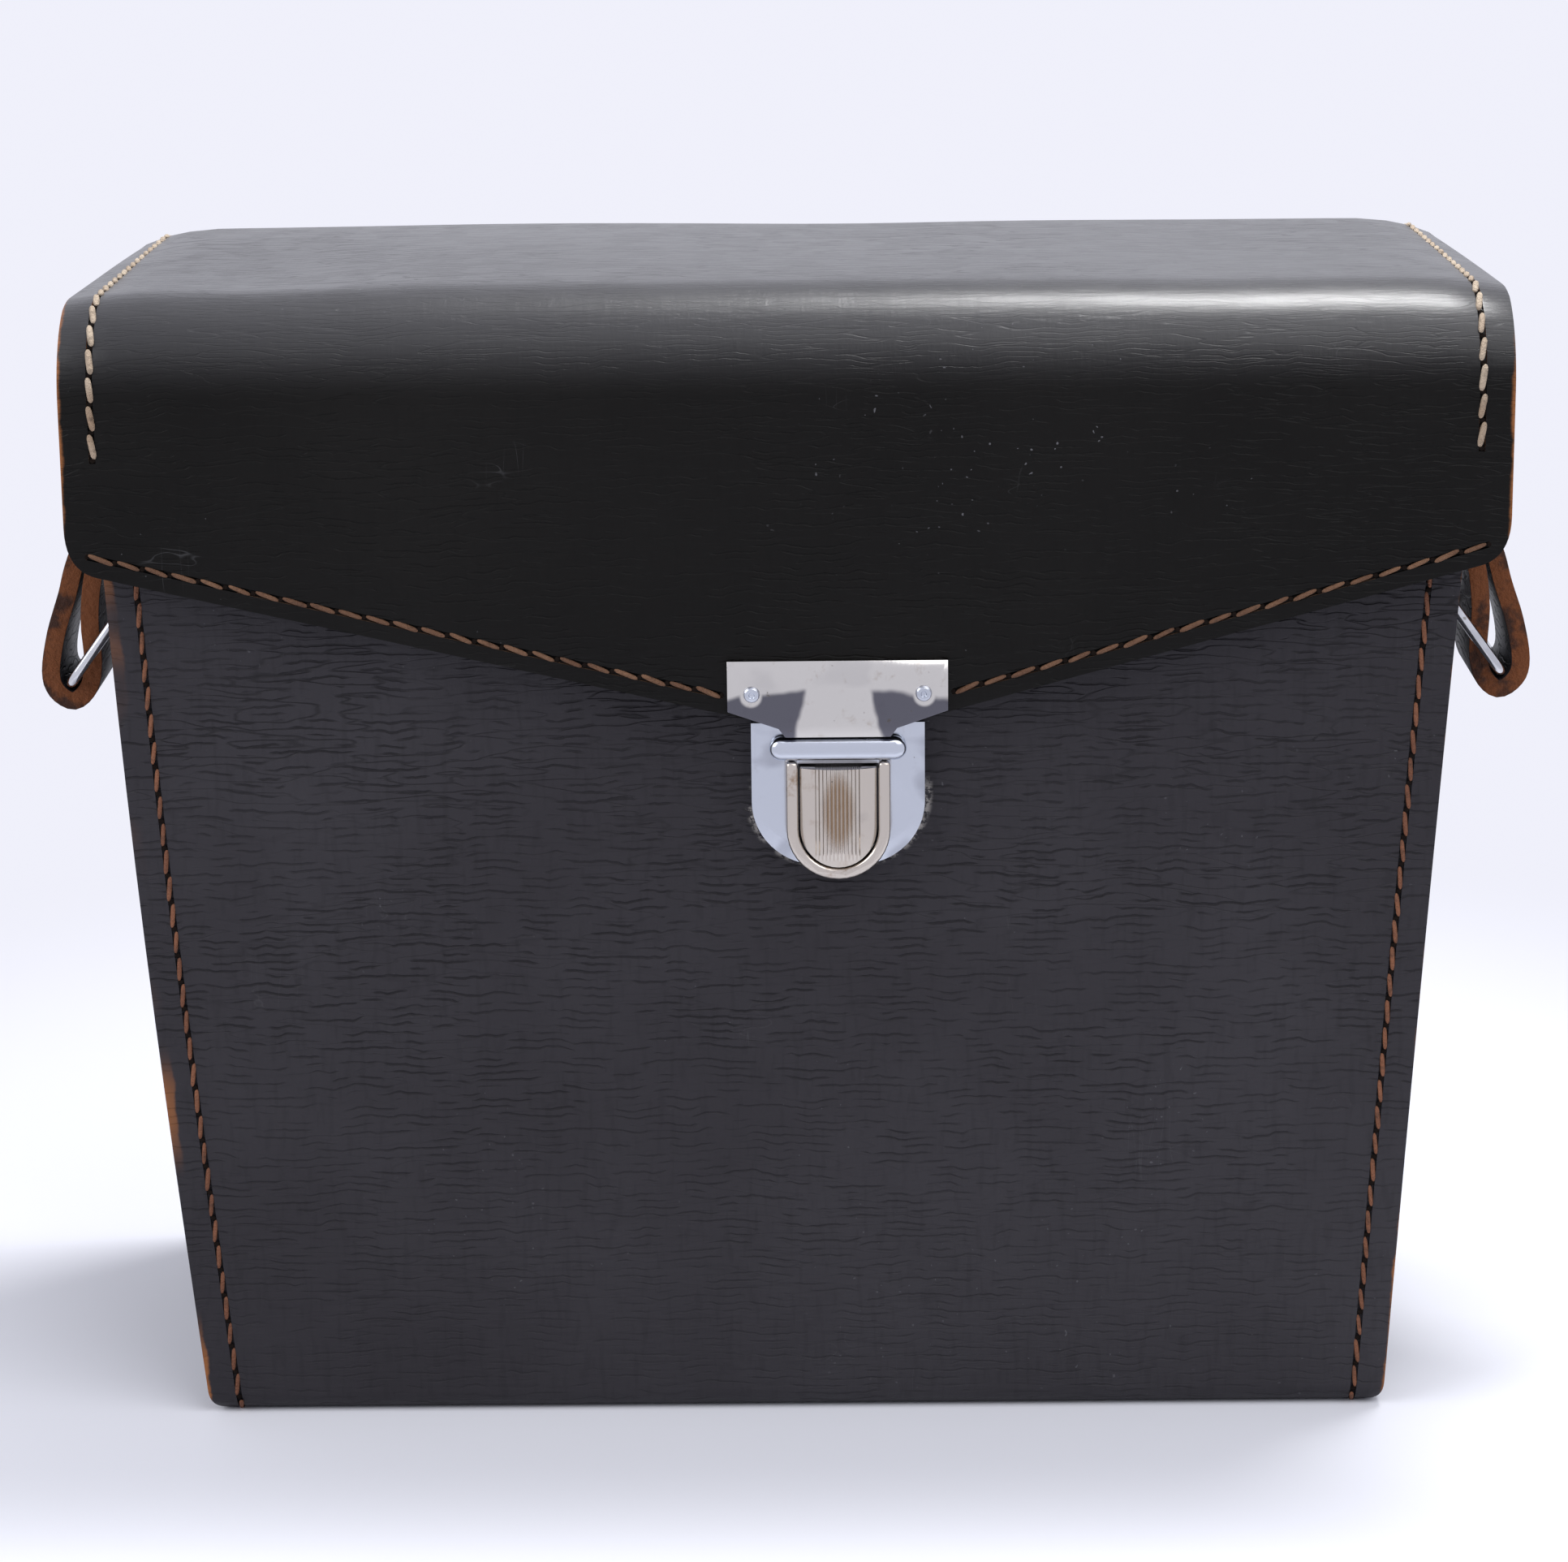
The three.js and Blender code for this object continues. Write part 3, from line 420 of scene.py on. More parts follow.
def metalMaterial(name, ribs=False):
    look = metalLooks[name]
    material, shader, place = newMaterial(name + ("Ribbed" if ribs else ""))
    wear = place.noise(300, 4, 0.7).between(0.56, 0.76) * look["wearShare"]
    hairlines = place.stretched(1, 1, 0.05).noise(1700, 2)
    spots = place.noise(800, 2).between(0.72, 0.78)
    height = hairlines * 0.012 + place.noise(90, 2) * 0.05
    if ribs:
        # fine upright ribs on the middle of the button, brass showing where a thumb rubs
        x = place.part("X") * 1000 - case["lockX"]
        z = place.part("Z") * 1000
        wave = place.sum("SINE", x * (2 * math.pi / 0.52))
        inside = abs(x).between(3.0, 3.3, 1.0, 0.0) * z.between(82, 83.5)
        height = height + wave * inside * 0.09
        rubbed = (x * x * 0.16 + (z - 89) * (z - 89) * 0.028).between(0.25, 1.1, 1.0, 0.0)
        crests = wave.between(-0.2, 0.7)
        wear = (wear * 0.35 + rubbed * (0.45 + crests * 0.5)).least(1.0)
    # painted reflection: dark blue-grey blots stand for the dark room mirrored in the metal
    paintedReflections = place.stretched(0.8, 1, 1.1).noise(150, 2, 0.4).between(0.5, 0.62) * look["paintedReflections"]
    if name == "plateNickel":
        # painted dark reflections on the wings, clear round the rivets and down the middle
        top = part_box("strike_plate")[1][2] / mm
        aside = abs(place.part("X") * 1000 - case["lockX"])
        below = top - place.part("Z") * 1000
        uneven = place.noise(170, 2) * 2.4
        fromRivet = place.sum("SQRT", (aside - 11.7) * (aside - 11.7) + (below - 4.9) * (below - 4.9))
        wing = (aside - below * 0.25 + uneven).between(4.2, 5.0) * (below + uneven - aside * 0.12).between(4.3, 5.2)
        paintedReflections = (wing * fromRivet.between(1.2, 1.7)).most(paintedReflections * 0.25) * 0.93
    colour = wear.blended(look["colour"], look["worn"])
    colour = paintedReflections.blended(colour, (0.085, 0.085, 0.11, 1))
    colour = (spots * 0.6).blended(colour, (0.1, 0.085, 0.07, 1))
    roughness = look["roughness"] + wear * 0.12 + hairlines * 0.05 + spots * 0.3
    feed(shader, colour=colour, metallic=1.0, roughness=roughness, normal=bumped(height, 1.0))
    return material


blueChrome = metalMaterial("blueChrome")
warmNickel = metalMaterial("warmNickel")
plateNickel = metalMaterial("plateNickel")
ribbedNickel = metalMaterial("warmNickel", True)
ringSteel = metalMaterial("ringSteel")
springSteel = metalMaterial("springSteel")


# modelling helpers
def only(piece):
    if bpy.context.mode != "OBJECT":
        bpy.ops.object.mode_set(mode="OBJECT")
    bpy.ops.object.select_all(action="DESELECT")
    piece.select_set(True)
    bpy.context.view_layer.objects.active = piece


def copyOf(node, name):
    # a welded copy of a frame node, ready to be finished
    piece = bpy.data.objects.new(name, nodes[node].data.copy())
    bpy.context.scene.collection.objects.link(piece)
    piece.data.materials.clear()
    only(piece)
    bpy.ops.object.mode_set(mode="EDIT")
    bpy.ops.mesh.select_all(action="SELECT")
    bpy.ops.mesh.remove_doubles(threshold=0.000004)
    bpy.ops.mesh.dissolve_limited(angle_limit=math.radians(0.6))
    bpy.ops.object.mode_set(mode="OBJECT")
    return piece


def slices(piece, axis, low, high, count):
    # cuts the surface across an axis, so that it can be bent
    normal = [0, 0, 0]
    normal[axis] = 1
    only(piece)
    bpy.ops.object.mode_set(mode="EDIT")
    for i in range(count):
        point = [0, 0, 0]
        point[axis] = (low + (high - low) * (i + 0.5) / count) * mm
        bpy.ops.mesh.select_all(action="SELECT")
        bpy.ops.mesh.bisect(plane_co=point, plane_no=normal)
    bpy.ops.object.mode_set(mode="OBJECT")


def push(piece, move):
    # moves each point by what move gives, in millimetres
    for vertex in piece.data.vertices:
        x, y, z = vertex.co / mm
        vertex.co += Vector(move(x, y, z)) * mm


def rounded(piece, width, segments=3, angle=35):
    only(piece)
    bevel = piece.modifiers.new("edges", "BEVEL")
    bevel.width = width * mm
    bevel.segments = segments
    bevel.limit_method = "ANGLE"
    bevel.angle_limit = math.radians(angle)
    bevel.harden_normals = False
    bpy.ops.object.modifier_apply(modifier=bevel.name)
    bpy.ops.object.shade_smooth_by_angle(angle=math.radians(50))


def paint(piece, materials, choose=None):
    for material in materials:
        piece.data.materials.append(material)
    if choose:
        for face in piece.data.polygons:
            face.material_index = choose(face.normal, face.center / mm)


def settle(piece, body, slotName, *stoodFor):
    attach(piece, body)
    if stoodFor:
        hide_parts(*stoodFor)
    return piece


def hump(value, middle, width):
    return math.exp(-(((value - middle) / width) ** 2))


# body
bodyShape = {"edgeRound": 0.7, "frontSwell": 0.7, "rimSag": 0.35}


def settled(z, side):
    # the sides bow out at mid height, and the whole body leans a little to the left
    share = math.sin(math.pi * min(max(z, 0), 144) / 168)
    return side * 0.55 * share - 0.95 * share


def bodyMove(x, y, z):
    # the front and back swell a little between the stiff corners
    aside = settled(z, x / sideAt(z))
    swell = bodyShape["frontSwell"] * math.cos(min(abs(x) / sideAt(z), 1) * math.pi / 2) ** 1.5
    swell *= math.sin(math.pi * min(max(z / 150, 0), 1))
    ripple = 0.12 * math.sin(x * 0.06 + 1.0) * math.sin(z * 0.05)
    if abs(x) > sideAt(z) - 12 or abs(x - case["lockX"]) < 22 and z > 70 or z > 122:
        ripple = 0
        swell *= 0.25 if z > 122 else 1
    if abs(x - case["lockX"]) < 17 and z > 70:
        swell = 0
        aside = 0
    if y < -34.4:
        lifted = 2.0 if abs(x - case["lockX"]) < 12 and 78.5 < z < 83 else 0  # keeps the lock's slot behind its plate
        return (aside, -(swell + ripple) * 0.6, lifted)
    if y > 34.4 and z < 115:
        return (aside, (swell + ripple) * 0.8, 0)
    return (aside, 0, 0)


print("case: body")
bodyPiece = copyOf("body_wrap", "bodyLeatherWrap")
slices(bodyPiece, 0, -92, 92, 16)
slices(bodyPiece, 2, 8, 142, 12)
push(bodyPiece, bodyMove)


def bodyFaces(normal, centre):
    if abs(normal.x) > 0.9 and abs(centre.x) > sideAt(centre.z) - 1.5:
        return 1
    if normal.z > 0.9 and centre.z > 130:
        return 1
    return 2 if normal.y * centre.y + normal.z * (centre.z - 70) < 0 and abs(normal.x) < 0.5 else 0


paint(bodyPiece, [bodyLeather, bodyCut, fleshSide], bodyFaces)
rounded(bodyPiece, bodyShape["edgeRound"])
settle(bodyPiece, "case", "body_leather", "body_wrap")

for side in ("left", "right"):
    gusset = copyOf("side_gusset_" + side, "sidePanel_" + side)
    slices(gusset, 1, -34, 34, 9)
    slices(gusset, 2, 8, 140, 10)
    turn = 1 if side == "right" else -1

    def gussetMove(x, y, z):
        aside = settled(z, turn)
        if abs(x) < sideAt(z) - 4 or abs(y) > 30:
            return (aside, 0, 0)
        return (aside + turn * 0.7 * math.cos(y / 30 * math.pi / 2) * hump(z, 60, 36), 0, 0)

    push(gusset, gussetMove)
    paint(gusset, [trimLeather, bodyCut, fleshSide],
          lambda normal, centre: 1 if normal.z > 0.85 and centre.z > 130 else 0)
    rounded(gusset, 0.45)
    settle(gusset, "case", "body_leather", "side_gusset_" + side)

# lid
lidShape = {"edgeRound": 0.65, "topSwell": 0.9, "cheekFlare": 3.0}


def lidMove(x, y, z):
    across = math.cos(min(abs(x) / case["lidHalfWidth"], 1) * math.pi / 2)
    top = 0.0
    if z > 152:
        depth = math.cos(min(abs(y + 2) / 42, 1) * math.pi / 2)
        top = lidShape["topSwell"] * depth * (0.35 + 0.65 * across)
        top -= 1.1 * hump(x, -74, 16) * hump(y, -16, 22)
        top += 0.5 * hump(x, -40, 22) * hump(y, 6, 24) - 0.5 * hump(x, 8, 20) * hump(y, 16, 20)
        top -= 0.5 * hump(x, 60, 20) * hump(y, -6, 26)
    end = max(0.0, (abs(x) - 82) / 14.8) ** 2
    back = min(1.0, max(0.0, (y + 34) / 60))
    high = min(1.0, max(0.0, (z - 140) / 19))
    top -= 2.4 * end * high * (0.55 + 0.45 * back)
    inward = -math.copysign(2.6, x) * end * high ** 2 * back
    out = 0.0
    if y < -38 and z > 116:
        out = -0.5 * across * hump(z, 136, 14) * (0 if abs(x - case["lockX"]) < 18 and z < 122 else 1)
    return (inward, out, top * 0.9)


print("case: lid")
lidPiece = copyOf("lid_wrap", "lidLeatherWrap")
slices(lidPiece, 0, -95.5, 95.5, 40)
slices(lidPiece, 1, -28, 27, 9)
slices(lidPiece, 2, 112, 144, 5)
push(lidPiece, lidMove)


def lidFaces(normal, centre):
    if abs(normal.x) > 0.9 and abs(centre.x) > case["lidHalfWidth"] - 5:
        return 1
    if normal.z < -0.7 and centre.y > 34:
        return 1
    if normal.z < -0.8 and centre.y < -39 and centre.z < 130:
        return 0
    return 2 if normal.y * centre.y + normal.z * (centre.z - 120) < 0 and abs(normal.x) < 0.5 else 0


paint(lidPiece, [lidLeather, lidCut, fleshSide], lidFaces)
rounded(lidPiece, lidShape["edgeRound"])
settle(lidPiece, "lid", "lid_leather", "lid_wrap")

for side in ("left", "right"):
    cheek = copyOf("lid_cheek_" + side, "lidCheek_" + side)
    slices(cheek, 1, -36, 32, 12)
    slices(cheek, 2, 134, 157, 8)
    turn = 1 if side == "right" else -1

    def cheekMove(x, y, z):
        if abs(x) < 94:
            return lidMove(x, y, z)
        lower = max(0.0, min(1.0, (151 - z) / 16)) ** 1.4
        flare = lidShape["cheekFlare"] * hump(y, -4, 19) * lower
        moved = lidMove(x, y, z)
        return (moved[0] + turn * flare, moved[1], moved[2] - 1.2 * hump(y, -4, 15) * lower)

    push(cheek, cheekMove)
    paint(cheek, [trimLeather, lidCut], lambda normal, centre: 1 if normal.z < -0.6 and abs(centre.x) > 94 else 0)
    rounded(cheek, 0.5)
    settle(cheek, "lid", "lid_leather", "lid_cheek_" + side)

facing = copyOf("flap_facing", "flapFacing")
paint(facing, [trimLeather])
rounded(facing, 0.25, 2)
settle(facing, "lid", "lid_leather", "flap_facing")

# the hinge strip, sliced across
hingeStrip = copyOf("hinge_strip", "hingeStrip")
slices(hingeStrip, 2, 126, 142, 12)
slices(hingeStrip, 0, -82, 82, 8)
paint(hingeStrip, [trimLeather, bodyCut], lambda normal, centre: 1 if abs(normal.x) > 0.9 and abs(centre.x) > 83 else 0)
rounded(hingeStrip, 0.4)
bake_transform(hingeStrip)
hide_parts("hinge_strip")

# lining
print("case: lining")
for name in ("front", "back", "base", "side_left", "side_right", "lid"):
    pad = copyOf("lining_" + name, "lining_" + name + "_plush")
    slices(pad, 0, -80, 80, 8)
    paint(pad, [redPlush])
    rounded(pad, 0.5)
    settle(pad, "lid" if name == "lid" else "case", "lining", "lining_" + name)
for name in ("front_board", "back_board", "base_board"):
    nodes[name].material_slots[0].material = fibreBoard

# stitches
stitch = {"length": 3.5, "width": 0.68, "height": 0.66, "pitch": 3.86, "slant": 9, "holeShade": 0.42}


def stitchParts():
    bpy.ops.object.select_all(action="DESELECT")
    bpy.ops.mesh.primitive_uv_sphere_add(segments=8, ring_count=9, radius=mm)
    grain = bpy.context.object
    bpy.ops.object.mode_set(mode="EDIT")
    bpy.ops.mesh.select_all(action="SELECT")
    size = (stitch["width"] / 2, stitch["height"] / 2, stitch["length"] / 2)
    bpy.ops.transform.resize(value=size)
    bpy.ops.object.mode_set(mode="OBJECT")
    for vertex in grain.data.vertices:  # fuller than an egg, as a pulled thread is
        share = min(abs(vertex.co.z) / (stitch["length"] / 2 * mm), 0.999)
        fuller = min(math.sqrt(1 - share ** 5) / math.sqrt(1 - share * share), 2.2) * 0.96
        vertex.co.x *= fuller
        vertex.co.y *= 0.5 + 0.5 * fuller
    bpy.ops.object.shade_smooth()
    only(grain)
    bpy.ops.object.select_all(action="DESELECT")
    # the dark disc of painted shade that marks each stitch hole
    bpy.ops.mesh.primitive_uv_sphere_add(segments=8, ring_count=6, radius=stitch["holeShade"] * mm)
    holeShade = bpy.context.object
    bpy.ops.object.mode_set(mode="EDIT")
    bpy.ops.mesh.select_all(action="SELECT")
    bpy.ops.transform.resize(value=(1.0, 0.34, 0.85))
    bpy.ops.object.mode_set(mode="OBJECT")
    bpy.ops.object.shade_smooth()
    return grain, holeShade


threadGrain, holeShadeDisc = stitchParts()
seeded = random.Random(7)


def along(points, pitch):
    # even steps along a line of (place, outward) pairs
    lengths = [0.0]
    for (a, _), (b, _) in zip(points, points[1:]):
        lengths.append(lengths[-1] + (b - a).length)
    count = max(1, round(lengths[-1] / pitch))
    steps = []
    for i in range(2 * count + 1):
        goal = lengths[-1] * i / (2 * count)
        k = max(j for j in range(len(points) - 1) if lengths[j] <= goal + 1e-9)
        share = (goal - lengths[k]) / (lengths[k + 1] - lengths[k])
        place = points[k][0].lerp(points[k + 1][0], share)
        outward = points[k][1].lerp(points[k + 1][1], share).normalized()
        steps.append((place, (points[k + 1][0] - points[k][0]).normalized(), outward))
    return steps


def seam(name, points, thread, slant=1, rise=0.02, scale=1.0):
    # odd steps carry a stitch, even steps a dark disc of painted shade for the hole between two
    parts = []
    steps = along([(Vector(p), Vector(n)) for p, n in points], stitch["pitch"])
    for i, (place, ahead, outward) in enumerate(steps):
        side = outward.cross(ahead).normalized()
        source = threadGrain if i % 2 else holeShadeDisc
        lift = rise if i % 2 else -0.08
        turn = Matrix((side, outward, ahead)).transposed().to_4x4()
        lean = Matrix.Rotation(math.radians(slant * stitch["slant"] + seeded.uniform(-3, 3)), 4, "Y")
        grow = seeded.uniform(0.9, 1.05) if i % 2 else 1
        size = Matrix.Diagonal((grow * scale if i % 2 else 1, scale if i % 2 else 1, grow, 1))
        mesh = source.data.copy()
        mesh.transform(Matrix.Translation((place + outward * lift) * mm) @ turn @ lean @ size)
        mesh.materials.clear()
        mesh.materials.append(thread if i % 2 else stitchHoleShade)
        part = bpy.data.objects.new(name, mesh)
        bpy.context.scene.collection.objects.link(part)
        parts.append(part)
    only(parts[1])
    for part in parts:
        part.select_set(True)
    bpy.ops.object.join()
    joined = bpy.context.object
    joined.name = name
    return joined


def arc(middleY, middleZ, radius, start, end, count, xAt):
    made = []
    for i in range(count + 1):
        angle = math.radians(start + (end - start) * i / count)
        out = Vector((0, math.cos(angle), math.sin(angle)))
        y = middleY + radius * out.y
        z = middleZ + radius * out.z
        made.append(((xAt(z), y, z), out))
    return made


print("case: stitching")
seams = {"inset": 4.3, "flapInset": 2.6, "tipHalfWidth": 9.4, "tipZ": 101.3, "cornerZ": 122.2, "cornerInset": 4.3}
for side, turn in (("left", -1), ("right", 1)):
    bodySeamX = lambda z: turn * (sideAt(z) - seams["inset"]) + settled(z, turn)
    fold = case["foldRadius"]
    route = [((bodySeamX(z), case["frontY"] - 0.35 * math.sin(math.pi * z / 150) * 0.2, z), (0, -1, 0)) for z in (141, 125, 110, 95, 80, 65, 50, 35, 20, 10, fold)]
    route += arc(case["frontY"] + fold, fold, fold, 180, 270, 6, bodySeamX)[1:]
    route += [((bodySeamX(0), case["backY"] - fold, 0), (0, 0, -1))]
    route += arc(case["backY"] - fold, fold, fold, 270, 360, 6, bodySeamX)[1:]
    route += [((bodySeamX(z), case["backY"], z), (0, 1, 0)) for z in (20, 45, 70, 95, 119)]
    made = seam("bodySeam_" + side, route, bodyThread, turn, -0.12)
    settle(made, "case", "tan_thread", "body_seam_thread_" + side)

    lidSeamX = lambda z: turn * (case["lidHalfWidth"] - 4.3)
    front, back = case["lidFrontRadius"], case["lidBackRadius"]
    top = case["lidTop"]
    route = [((lidSeamX(0), case["flapY"], 138.2), (0, -1, 0))]
    route += arc(case["flapY"] + front, top - front, front, 180, 90, 9, lidSeamX)
    route += arc(case["backY"] - back, top - back, back, 90, 0, 7, lidSeamX)
    route += [((lidSeamX(0), case["backY"], 138.2), (0, 1, 0))]
    route = [(Vector(p) + Vector(lidMove(*p)), n) for p, n in route]
    made = seam("lidSeam_" + side, route, lidThread, -turn, 0.02, 1.35)
    settle(made, "lid", "pale_thread", "lid_seam_thread_" + side)

    lock = case["lockX"] * turn
    corner = case["lidHalfWidth"] - seams["cornerInset"]
    slope = (seams["cornerZ"] - seams["tipZ"]) / (corner - lock - seams["tipHalfWidth"])
    flapZ = lambda x: seams["tipZ"] + slope * (x - lock - seams["tipHalfWidth"]) + seams["flapInset"]
    route = [((turn * x, case["flapY"], flapZ(x)), (0, -1, 0)) for x in (lock + 15.6, 50, case["lidHalfWidth"] - 2.9)]
    made = seam("flapSeam_" + side, route, flapThread, turn, -0.06, 1.05)
    settle(made, "lid", "tan_thread", "flap_edge_thread_" + side)

for level, height, body in (("upper", 144, "lid"), ("lower", 124, "case")):
    route = [((x, 39.0, height), (0, 1, 0)) for x in (-81, 0, 81)]
    made = seam("hingeSeam_" + level, route, bodyThread, 1, -0.1)
    settle(made, body, "tan_thread", "hinge_thread_" + level)
for spare in (threadGrain, holeShadeDisc):
    bpy.data.objects.remove(spare)

# lock
print("case: lock")
lockFinish = {
    "lock_base_plate": ("lockBasePlate", 0.28, blueChrome, "case", "lock_chrome"),
    "lock_frame": ("lockFrame", 0.55, warmNickel, "case", "lock_nickel"),
    "lock_bar": ("lockBar", 1.05, blueChrome, "case", "lock_chrome"),
    "lock_button": ("lockButton", 0.4, ribbedNickel, "lock_button", "lock_nickel"),
    "strike_plate": ("strikePlate", 0.22, plateNickel, "lid", "lock_nickel"),
    "strike_rivet_left": ("strikeRivet_left", 0.09, blueChrome, "lid", "lock_chrome"),
    "strike_rivet_right": ("strikeRivet_right", 0.09, blueChrome, "lid", "lock_chrome"),
}
for node, (name, width, material, body, slotName) in lockFinish.items():
    piece = copyOf(node, name)
    paint(piece, [material])
    rounded(piece, width, 3, 40)
    settle(piece, body, slotName, node)
# the leaf spring, with a mesh of its own
spring = copyOf("lock_spring", "leafSpring")
paint(spring, [springSteel])
settle(spring, "case", "lock_steel", "lock_spring")
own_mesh(spring)
for name in ("lock_back_plate", "lock_latch"):
    nodes[name].material_slots[0].material = springSteel
for name in ("strike_washer_left", "strike_washer_right", "loop_washer_left", "loop_washer_right",
             "loop_rivet_left", "loop_rivet_right"):
    nodes[name].material_slots[0].material = ringSteel

# strap loops
loop = {
    "width": 16.0,
    "thickness": 2.6,
    "line": [(1.5, 133.2), (1.9, 128), (4.3, 121.5), (7, 115.5), (8.3, 109), (8.5, 103), (9.5, 99.2), (11.9, 97.1),
             (14.2, 98.6), (14.7, 101.5), (13.3, 107), (11.1, 112.5), (9.7, 116.5), (7, 122.5), (4.7, 128), (4.3, 133.2)],
}


def smoothLine(points, perSpan):
    made = []
    for i in range(len(points) - 1):
        a = points[max(i - 1, 0)]
        b, c = points[i], points[i + 1]
        d = points[min(i + 2, len(points) - 1)]
        for k in range(perSpan):
            t = k / perSpan
            made.append(tuple(
                0.5 * (2 * q + (r - p) * t + (2 * p - 5 * q + 4 * r - s) * t * t + (3 * q - p - 3 * r + s) * t ** 3)
                for p, q, r, s in zip(a, b, c, d)))
    made.append(points[-1])
    return made


def loopStrip(name, turn):
    # one edge as wide as the strap, drawn along the fold point by point
    line = [(turn * (sideAt(z) - 0.6 + out) + settled(122, turn), z) for out, z in smoothLine(loop["line"], 4)]
    bpy.ops.object.select_all(action="DESELECT")
    bpy.ops.mesh.primitive_plane_add(size=loop["width"] * mm, location=(0, 0, 0))
    piece = bpy.context.object
    piece.name = name
    bpy.ops.object.mode_set(mode="EDIT")
    bpy.ops.mesh.select_all(action="SELECT")
    bpy.ops.mesh.subdivide(number_cuts=1)
    bpy.ops.mesh.select_all(action="DESELECT")
    bpy.ops.object.mode_set(mode="OBJECT")
    half = loop["width"] / 2 * mm
    for vertex in piece.data.vertices:
        vertex.select = abs(vertex.co.x - half) < 1e-6
    bpy.ops.object.mode_set(mode="EDIT")
    bpy.ops.mesh.select_all(action="INVERT")
    bpy.ops.mesh.delete(type="VERT")
    bpy.ops.mesh.select_all(action="SELECT")
    bpy.ops.transform.translate(value=(line[0][0] * mm - half, 0, line[0][1] * mm))
    for (x0, z0), (x1, z1) in zip(line, line[1:]):
        step = ((x1 - x0) * mm, 0, (z1 - z0) * mm)
        bpy.ops.mesh.extrude_region_move(TRANSFORM_OT_translate={"value": step})
    bpy.ops.mesh.select_all(action="SELECT")
    bpy.ops.mesh.normals_make_consistent(inside=False)
    bpy.ops.object.mode_set(mode="OBJECT")
    wall = piece.modifiers.new("wall", "SOLIDIFY")
    wall.thickness = loop["thickness"] * mm
    wall.offset = 0
    wall.use_even_offset = False
    bpy.ops.object.modifier_apply(modifier=wall.name)
    bpy.ops.object.mode_set(mode="EDIT")
    bpy.ops.mesh.select_all(action="SELECT")
    bpy.ops.mesh.normals_make_consistent(inside=False)
    bpy.ops.object.mode_set(mode="OBJECT")
    return piece


print("case: loops and rings")
for side, turn in (("left", -1), ("right", 1)):
    piece = loopStrip("strapLoop_" + side, turn)
    piece.location = (0, 0, 0)
    centreX = lambda z: turn * (sideAt(z) - 0.6 + 11.5)

    def loopFaces(normal, centre):
        if abs(normal.y) > 0.8 or normal.z > 0.8 and centre.z > 130:
            return 1
        return 0

    paint(piece, [trimLeather, loopCut], loopFaces)
    rounded(piece, 0.45, 3)
    for vertex in piece.data.vertices:  # hand-cut edges are never quite straight
        edge = min(1.0, max(0.0, (abs(vertex.co.y) / mm - 6.5) / 1.5))
        wave = math.sin(vertex.co.z / mm * 0.9 + turn) * 0.1 + math.sin(vertex.co.z / mm * 2.3) * 0.05
        vertex.co.y += math.copysign(edge * wave, vertex.co.y) * mm
    outX = turn * (sideAt(122) + 8.0) * mm
    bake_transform(piece)
    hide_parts("strap_loop_" + side, "loop_inner_leg_" + side, "loop_outer_leg_" + side)

ring = {"wire": 1.5, "halfLength": 9.75, "reach": 14.1, "corner": 2.5, "lean": 36, "lowOut": 12.1, "lowZ": 99.7}
for side, turn in (("left", -1), ("right", 1)):
    bpy.ops.object.select_all(action="DESELECT")
    bpy.ops.mesh.primitive_plane_add(size=mm)
    piece = bpy.context.object
    piece.name = "strapRing_" + side
    bpy.ops.object.mode_set(mode="EDIT")
    bpy.ops.mesh.select_all(action="SELECT")
    bpy.ops.transform.resize(value=(ring["reach"], 2 * ring["halfLength"], 1))
    bpy.ops.mesh.bevel(offset=ring["corner"] * mm, segments=6, affect="VERTICES")
    bpy.ops.mesh.delete(type="ONLY_FACE")
    bpy.ops.object.mode_set(mode="OBJECT")
    bpy.ops.object.convert(target="CURVE")
    piece.data.bevel_depth = ring["wire"] / 2 * mm
    piece.data.bevel_resolution = 4
    piece.data.use_fill_caps = False
    bpy.ops.object.convert(target="MESH")
    lean = math.radians(ring["lean"])
    lowX = sideAt(99) - 0.6 + ring["lowOut"]
    stand = Matrix.Translation(Vector((turn * lowX + settled(122, turn), 0, ring["lowZ"])) * mm)
    upright = Matrix.Rotation(-turn * lean, 4, "Y") @ Matrix.Rotation(math.radians(-90), 4, "Y")
    piece.data.transform(stand @ upright @ Matrix.Translation((ring["reach"] / 2 * mm, 0, 0)))
    only(piece)
    bpy.ops.object.mode_set(mode="EDIT")
    bpy.ops.mesh.select_all(action="SELECT")
    bpy.ops.mesh.remove_doubles(threshold=0.00001)
    bpy.ops.mesh.normals_make_consistent(inside=False)
    bpy.ops.object.mode_set(mode="OBJECT")
    bpy.ops.object.shade_smooth()
    piece.data.materials.clear()
    paint(piece, [ringSteel])
    settle(piece, "ring_" + side, "ring_chrome", "strap_ring_" + side)

# studio
print("case: studio")


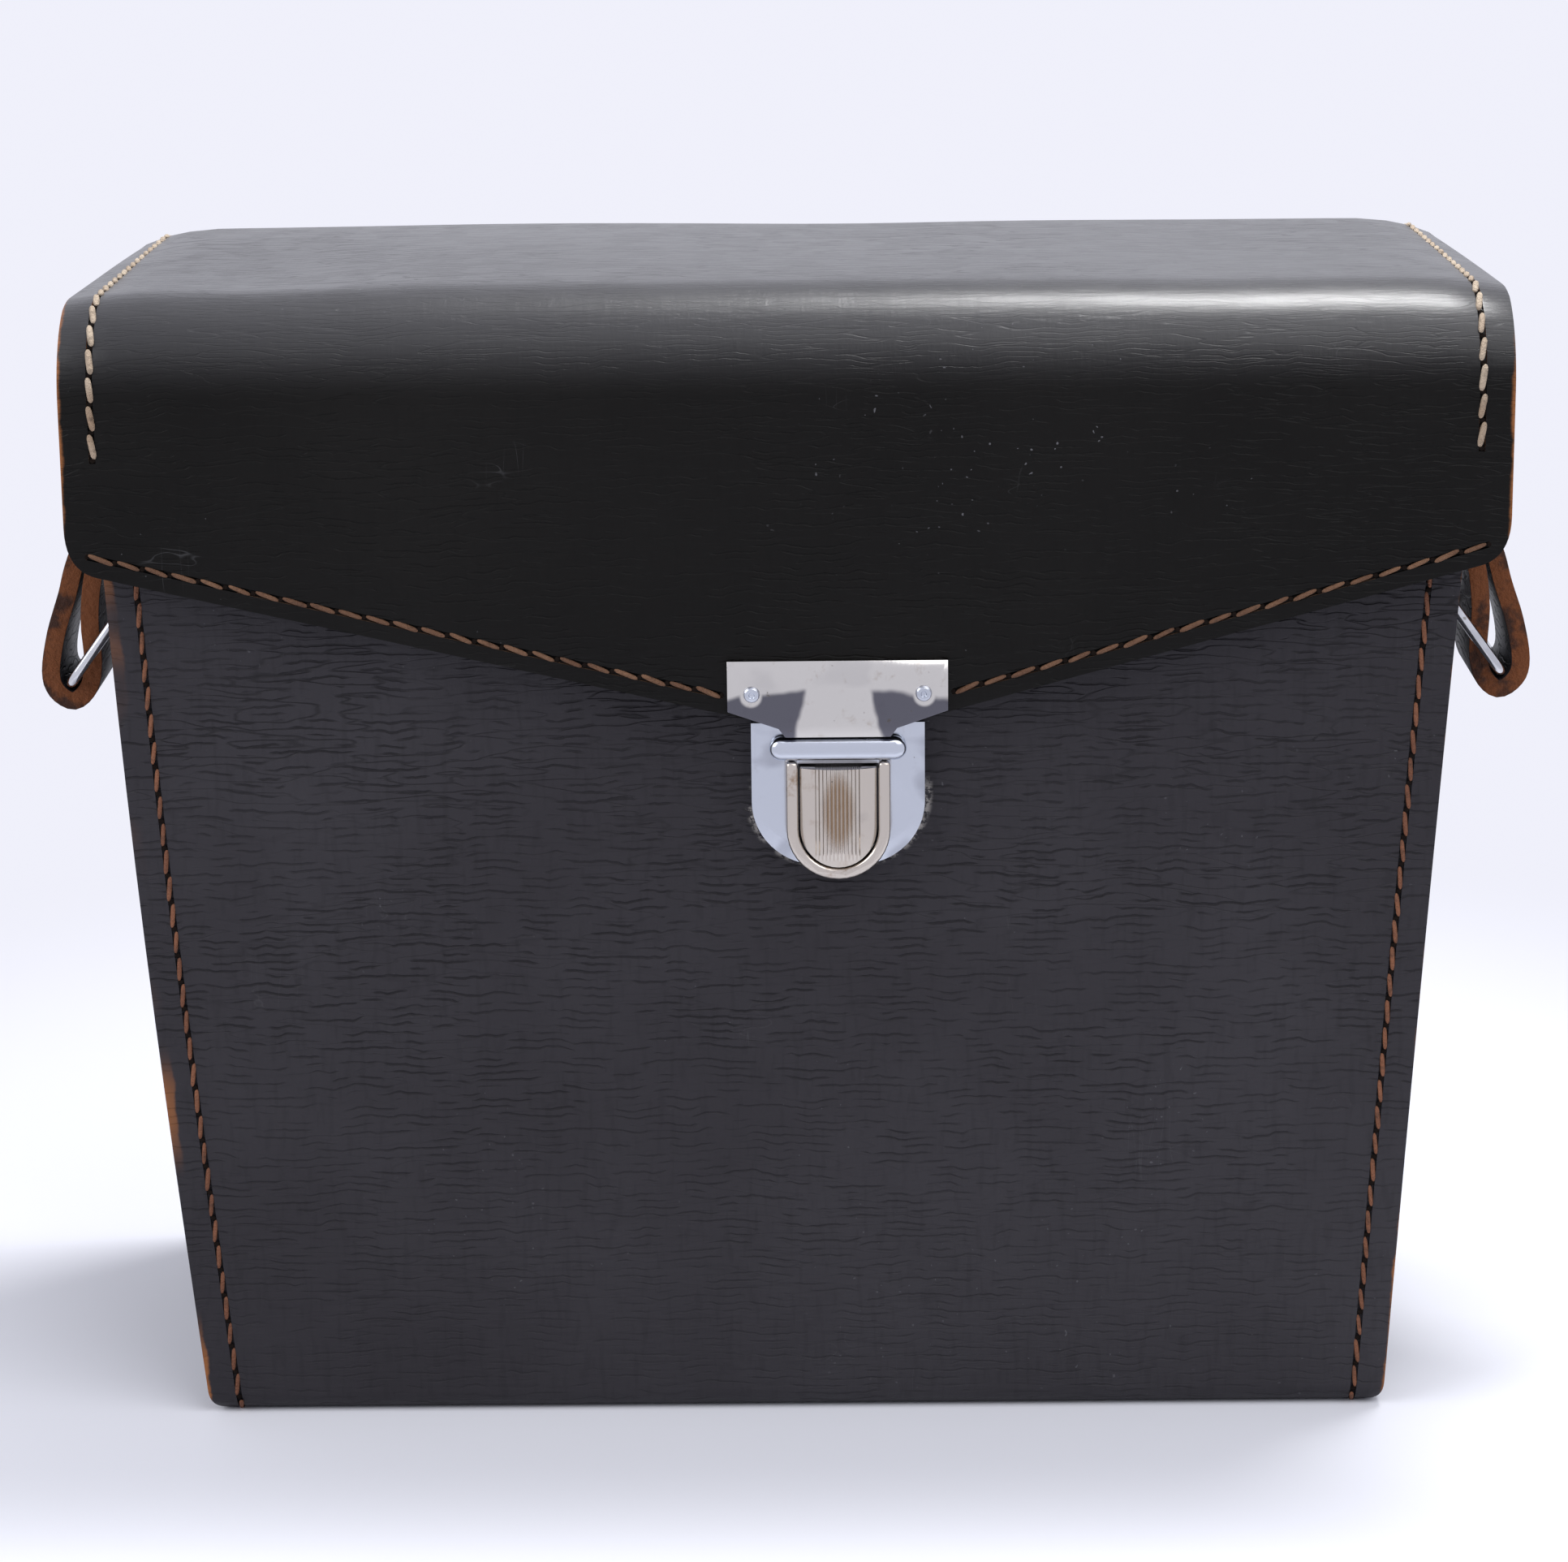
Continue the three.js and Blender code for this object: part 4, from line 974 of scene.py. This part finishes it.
def paperMaterial():
    # plain paper near the case, where its shadow falls, and pale glow further off
    material, shader, place = newMaterial("floorPaper")
    tree = shader.id_data
    soft = place.noise(3, 2)
    paper = soft.blended(tuple(c * 0.985 for c in studio["floorColour"][:3]) + (1,), studio["floorColour"])
    feed(shader, colour=paper, roughness=0.85, specular=0.1)
    seen = place.make("ShaderNodeLightPath", {}, {}, "Is Camera Ray")
    for kind in ("Is Glossy Ray", "Is Transmission Ray"):
        seen = seen.most(place.make("ShaderNodeLightPath", {}, {}, kind))
    x = place.part("X")
    y = place.part("Y")
    away = place.sum("SQRT", x * x + y * y).between(0.1, 0.28)
    glow = place.make("ShaderNodeEmission", {}, {"Color": studio["skyColour"], "Strength": 1.0})
    mixed = tree.nodes.new("ShaderNodeMixShader")
    tree.links.new((away * seen).socket, mixed.inputs[0])
    tree.links.new(shader.outputs[0], mixed.inputs[1])
    tree.links.new(glow.socket, mixed.inputs[2])
    tree.links.new(mixed.outputs[0], tree.nodes["Material Output"].inputs["Surface"])
    return material


def addStage():
    bpy.ops.object.select_all(action="DESELECT")
    bpy.ops.mesh.primitive_plane_add(size=6, location=(0, 0, 0))
    floor = bpy.context.object
    floor.name = "floor"
    floor.data.materials.append(paperMaterial())


def addWorld():
    world = bpy.data.worlds.new("studioSky")
    bpy.context.scene.world = world
    world.use_nodes = True
    tree = world.node_tree
    tree.nodes.clear()
    wire = Wire(tree)
    camera = wire.make("ShaderNodeLightPath", {}, {}, "Is Camera Ray")
    glossy = wire.make("ShaderNodeLightPath", {}, {}, "Is Glossy Ray")
    through = wire.make("ShaderNodeLightPath", {}, {}, "Is Transmission Ray")
    seen = camera.most(glossy).most(through)
    strength = studio["skyLight"] + seen * (1 - studio["skyLight"])
    sky = wire.make("ShaderNodeBackground", {}, {"Color": studio["skyColour"], "Strength": strength})
    output = tree.nodes.new("ShaderNodeOutputWorld")
    tree.links.new(sky.socket, output.inputs["Surface"])


lamps = {
    "rollStrip": {"place": (0.17, 0.13, 0.78), "aim": (0.07, -0.035, 0.155), "size": (0.26, 0.13), "power": 4.5},
    "mainSoftbox": {"place": (0.5, -0.55, 0.95), "aim": (0, 0, 0.07), "size": (1.0, 0.9), "power": 5.5},
    "leftSoftbox": {"place": (-0.75, -0.35, 0.6), "aim": (0, 0, 0.08), "size": (0.7, 0.6), "power": 4.0},
}


def addLamps():
    for name, lamp in lamps.items():
        data = bpy.data.lights.new(name, "AREA")
        data.shape = "RECTANGLE"
        data.size, data.size_y = lamp["size"]
        data.energy = lamp["power"]
        light = bpy.data.objects.new(name, data)
        bpy.context.scene.collection.objects.link(light)
        light.location = lamp["place"]
        toward = Vector(lamp["aim"]) - Vector(lamp["place"])
        light.rotation_euler = toward.to_track_quat("-Z", "Y").to_euler()


addStage()
addWorld()
addLamps()

print("case: finished")
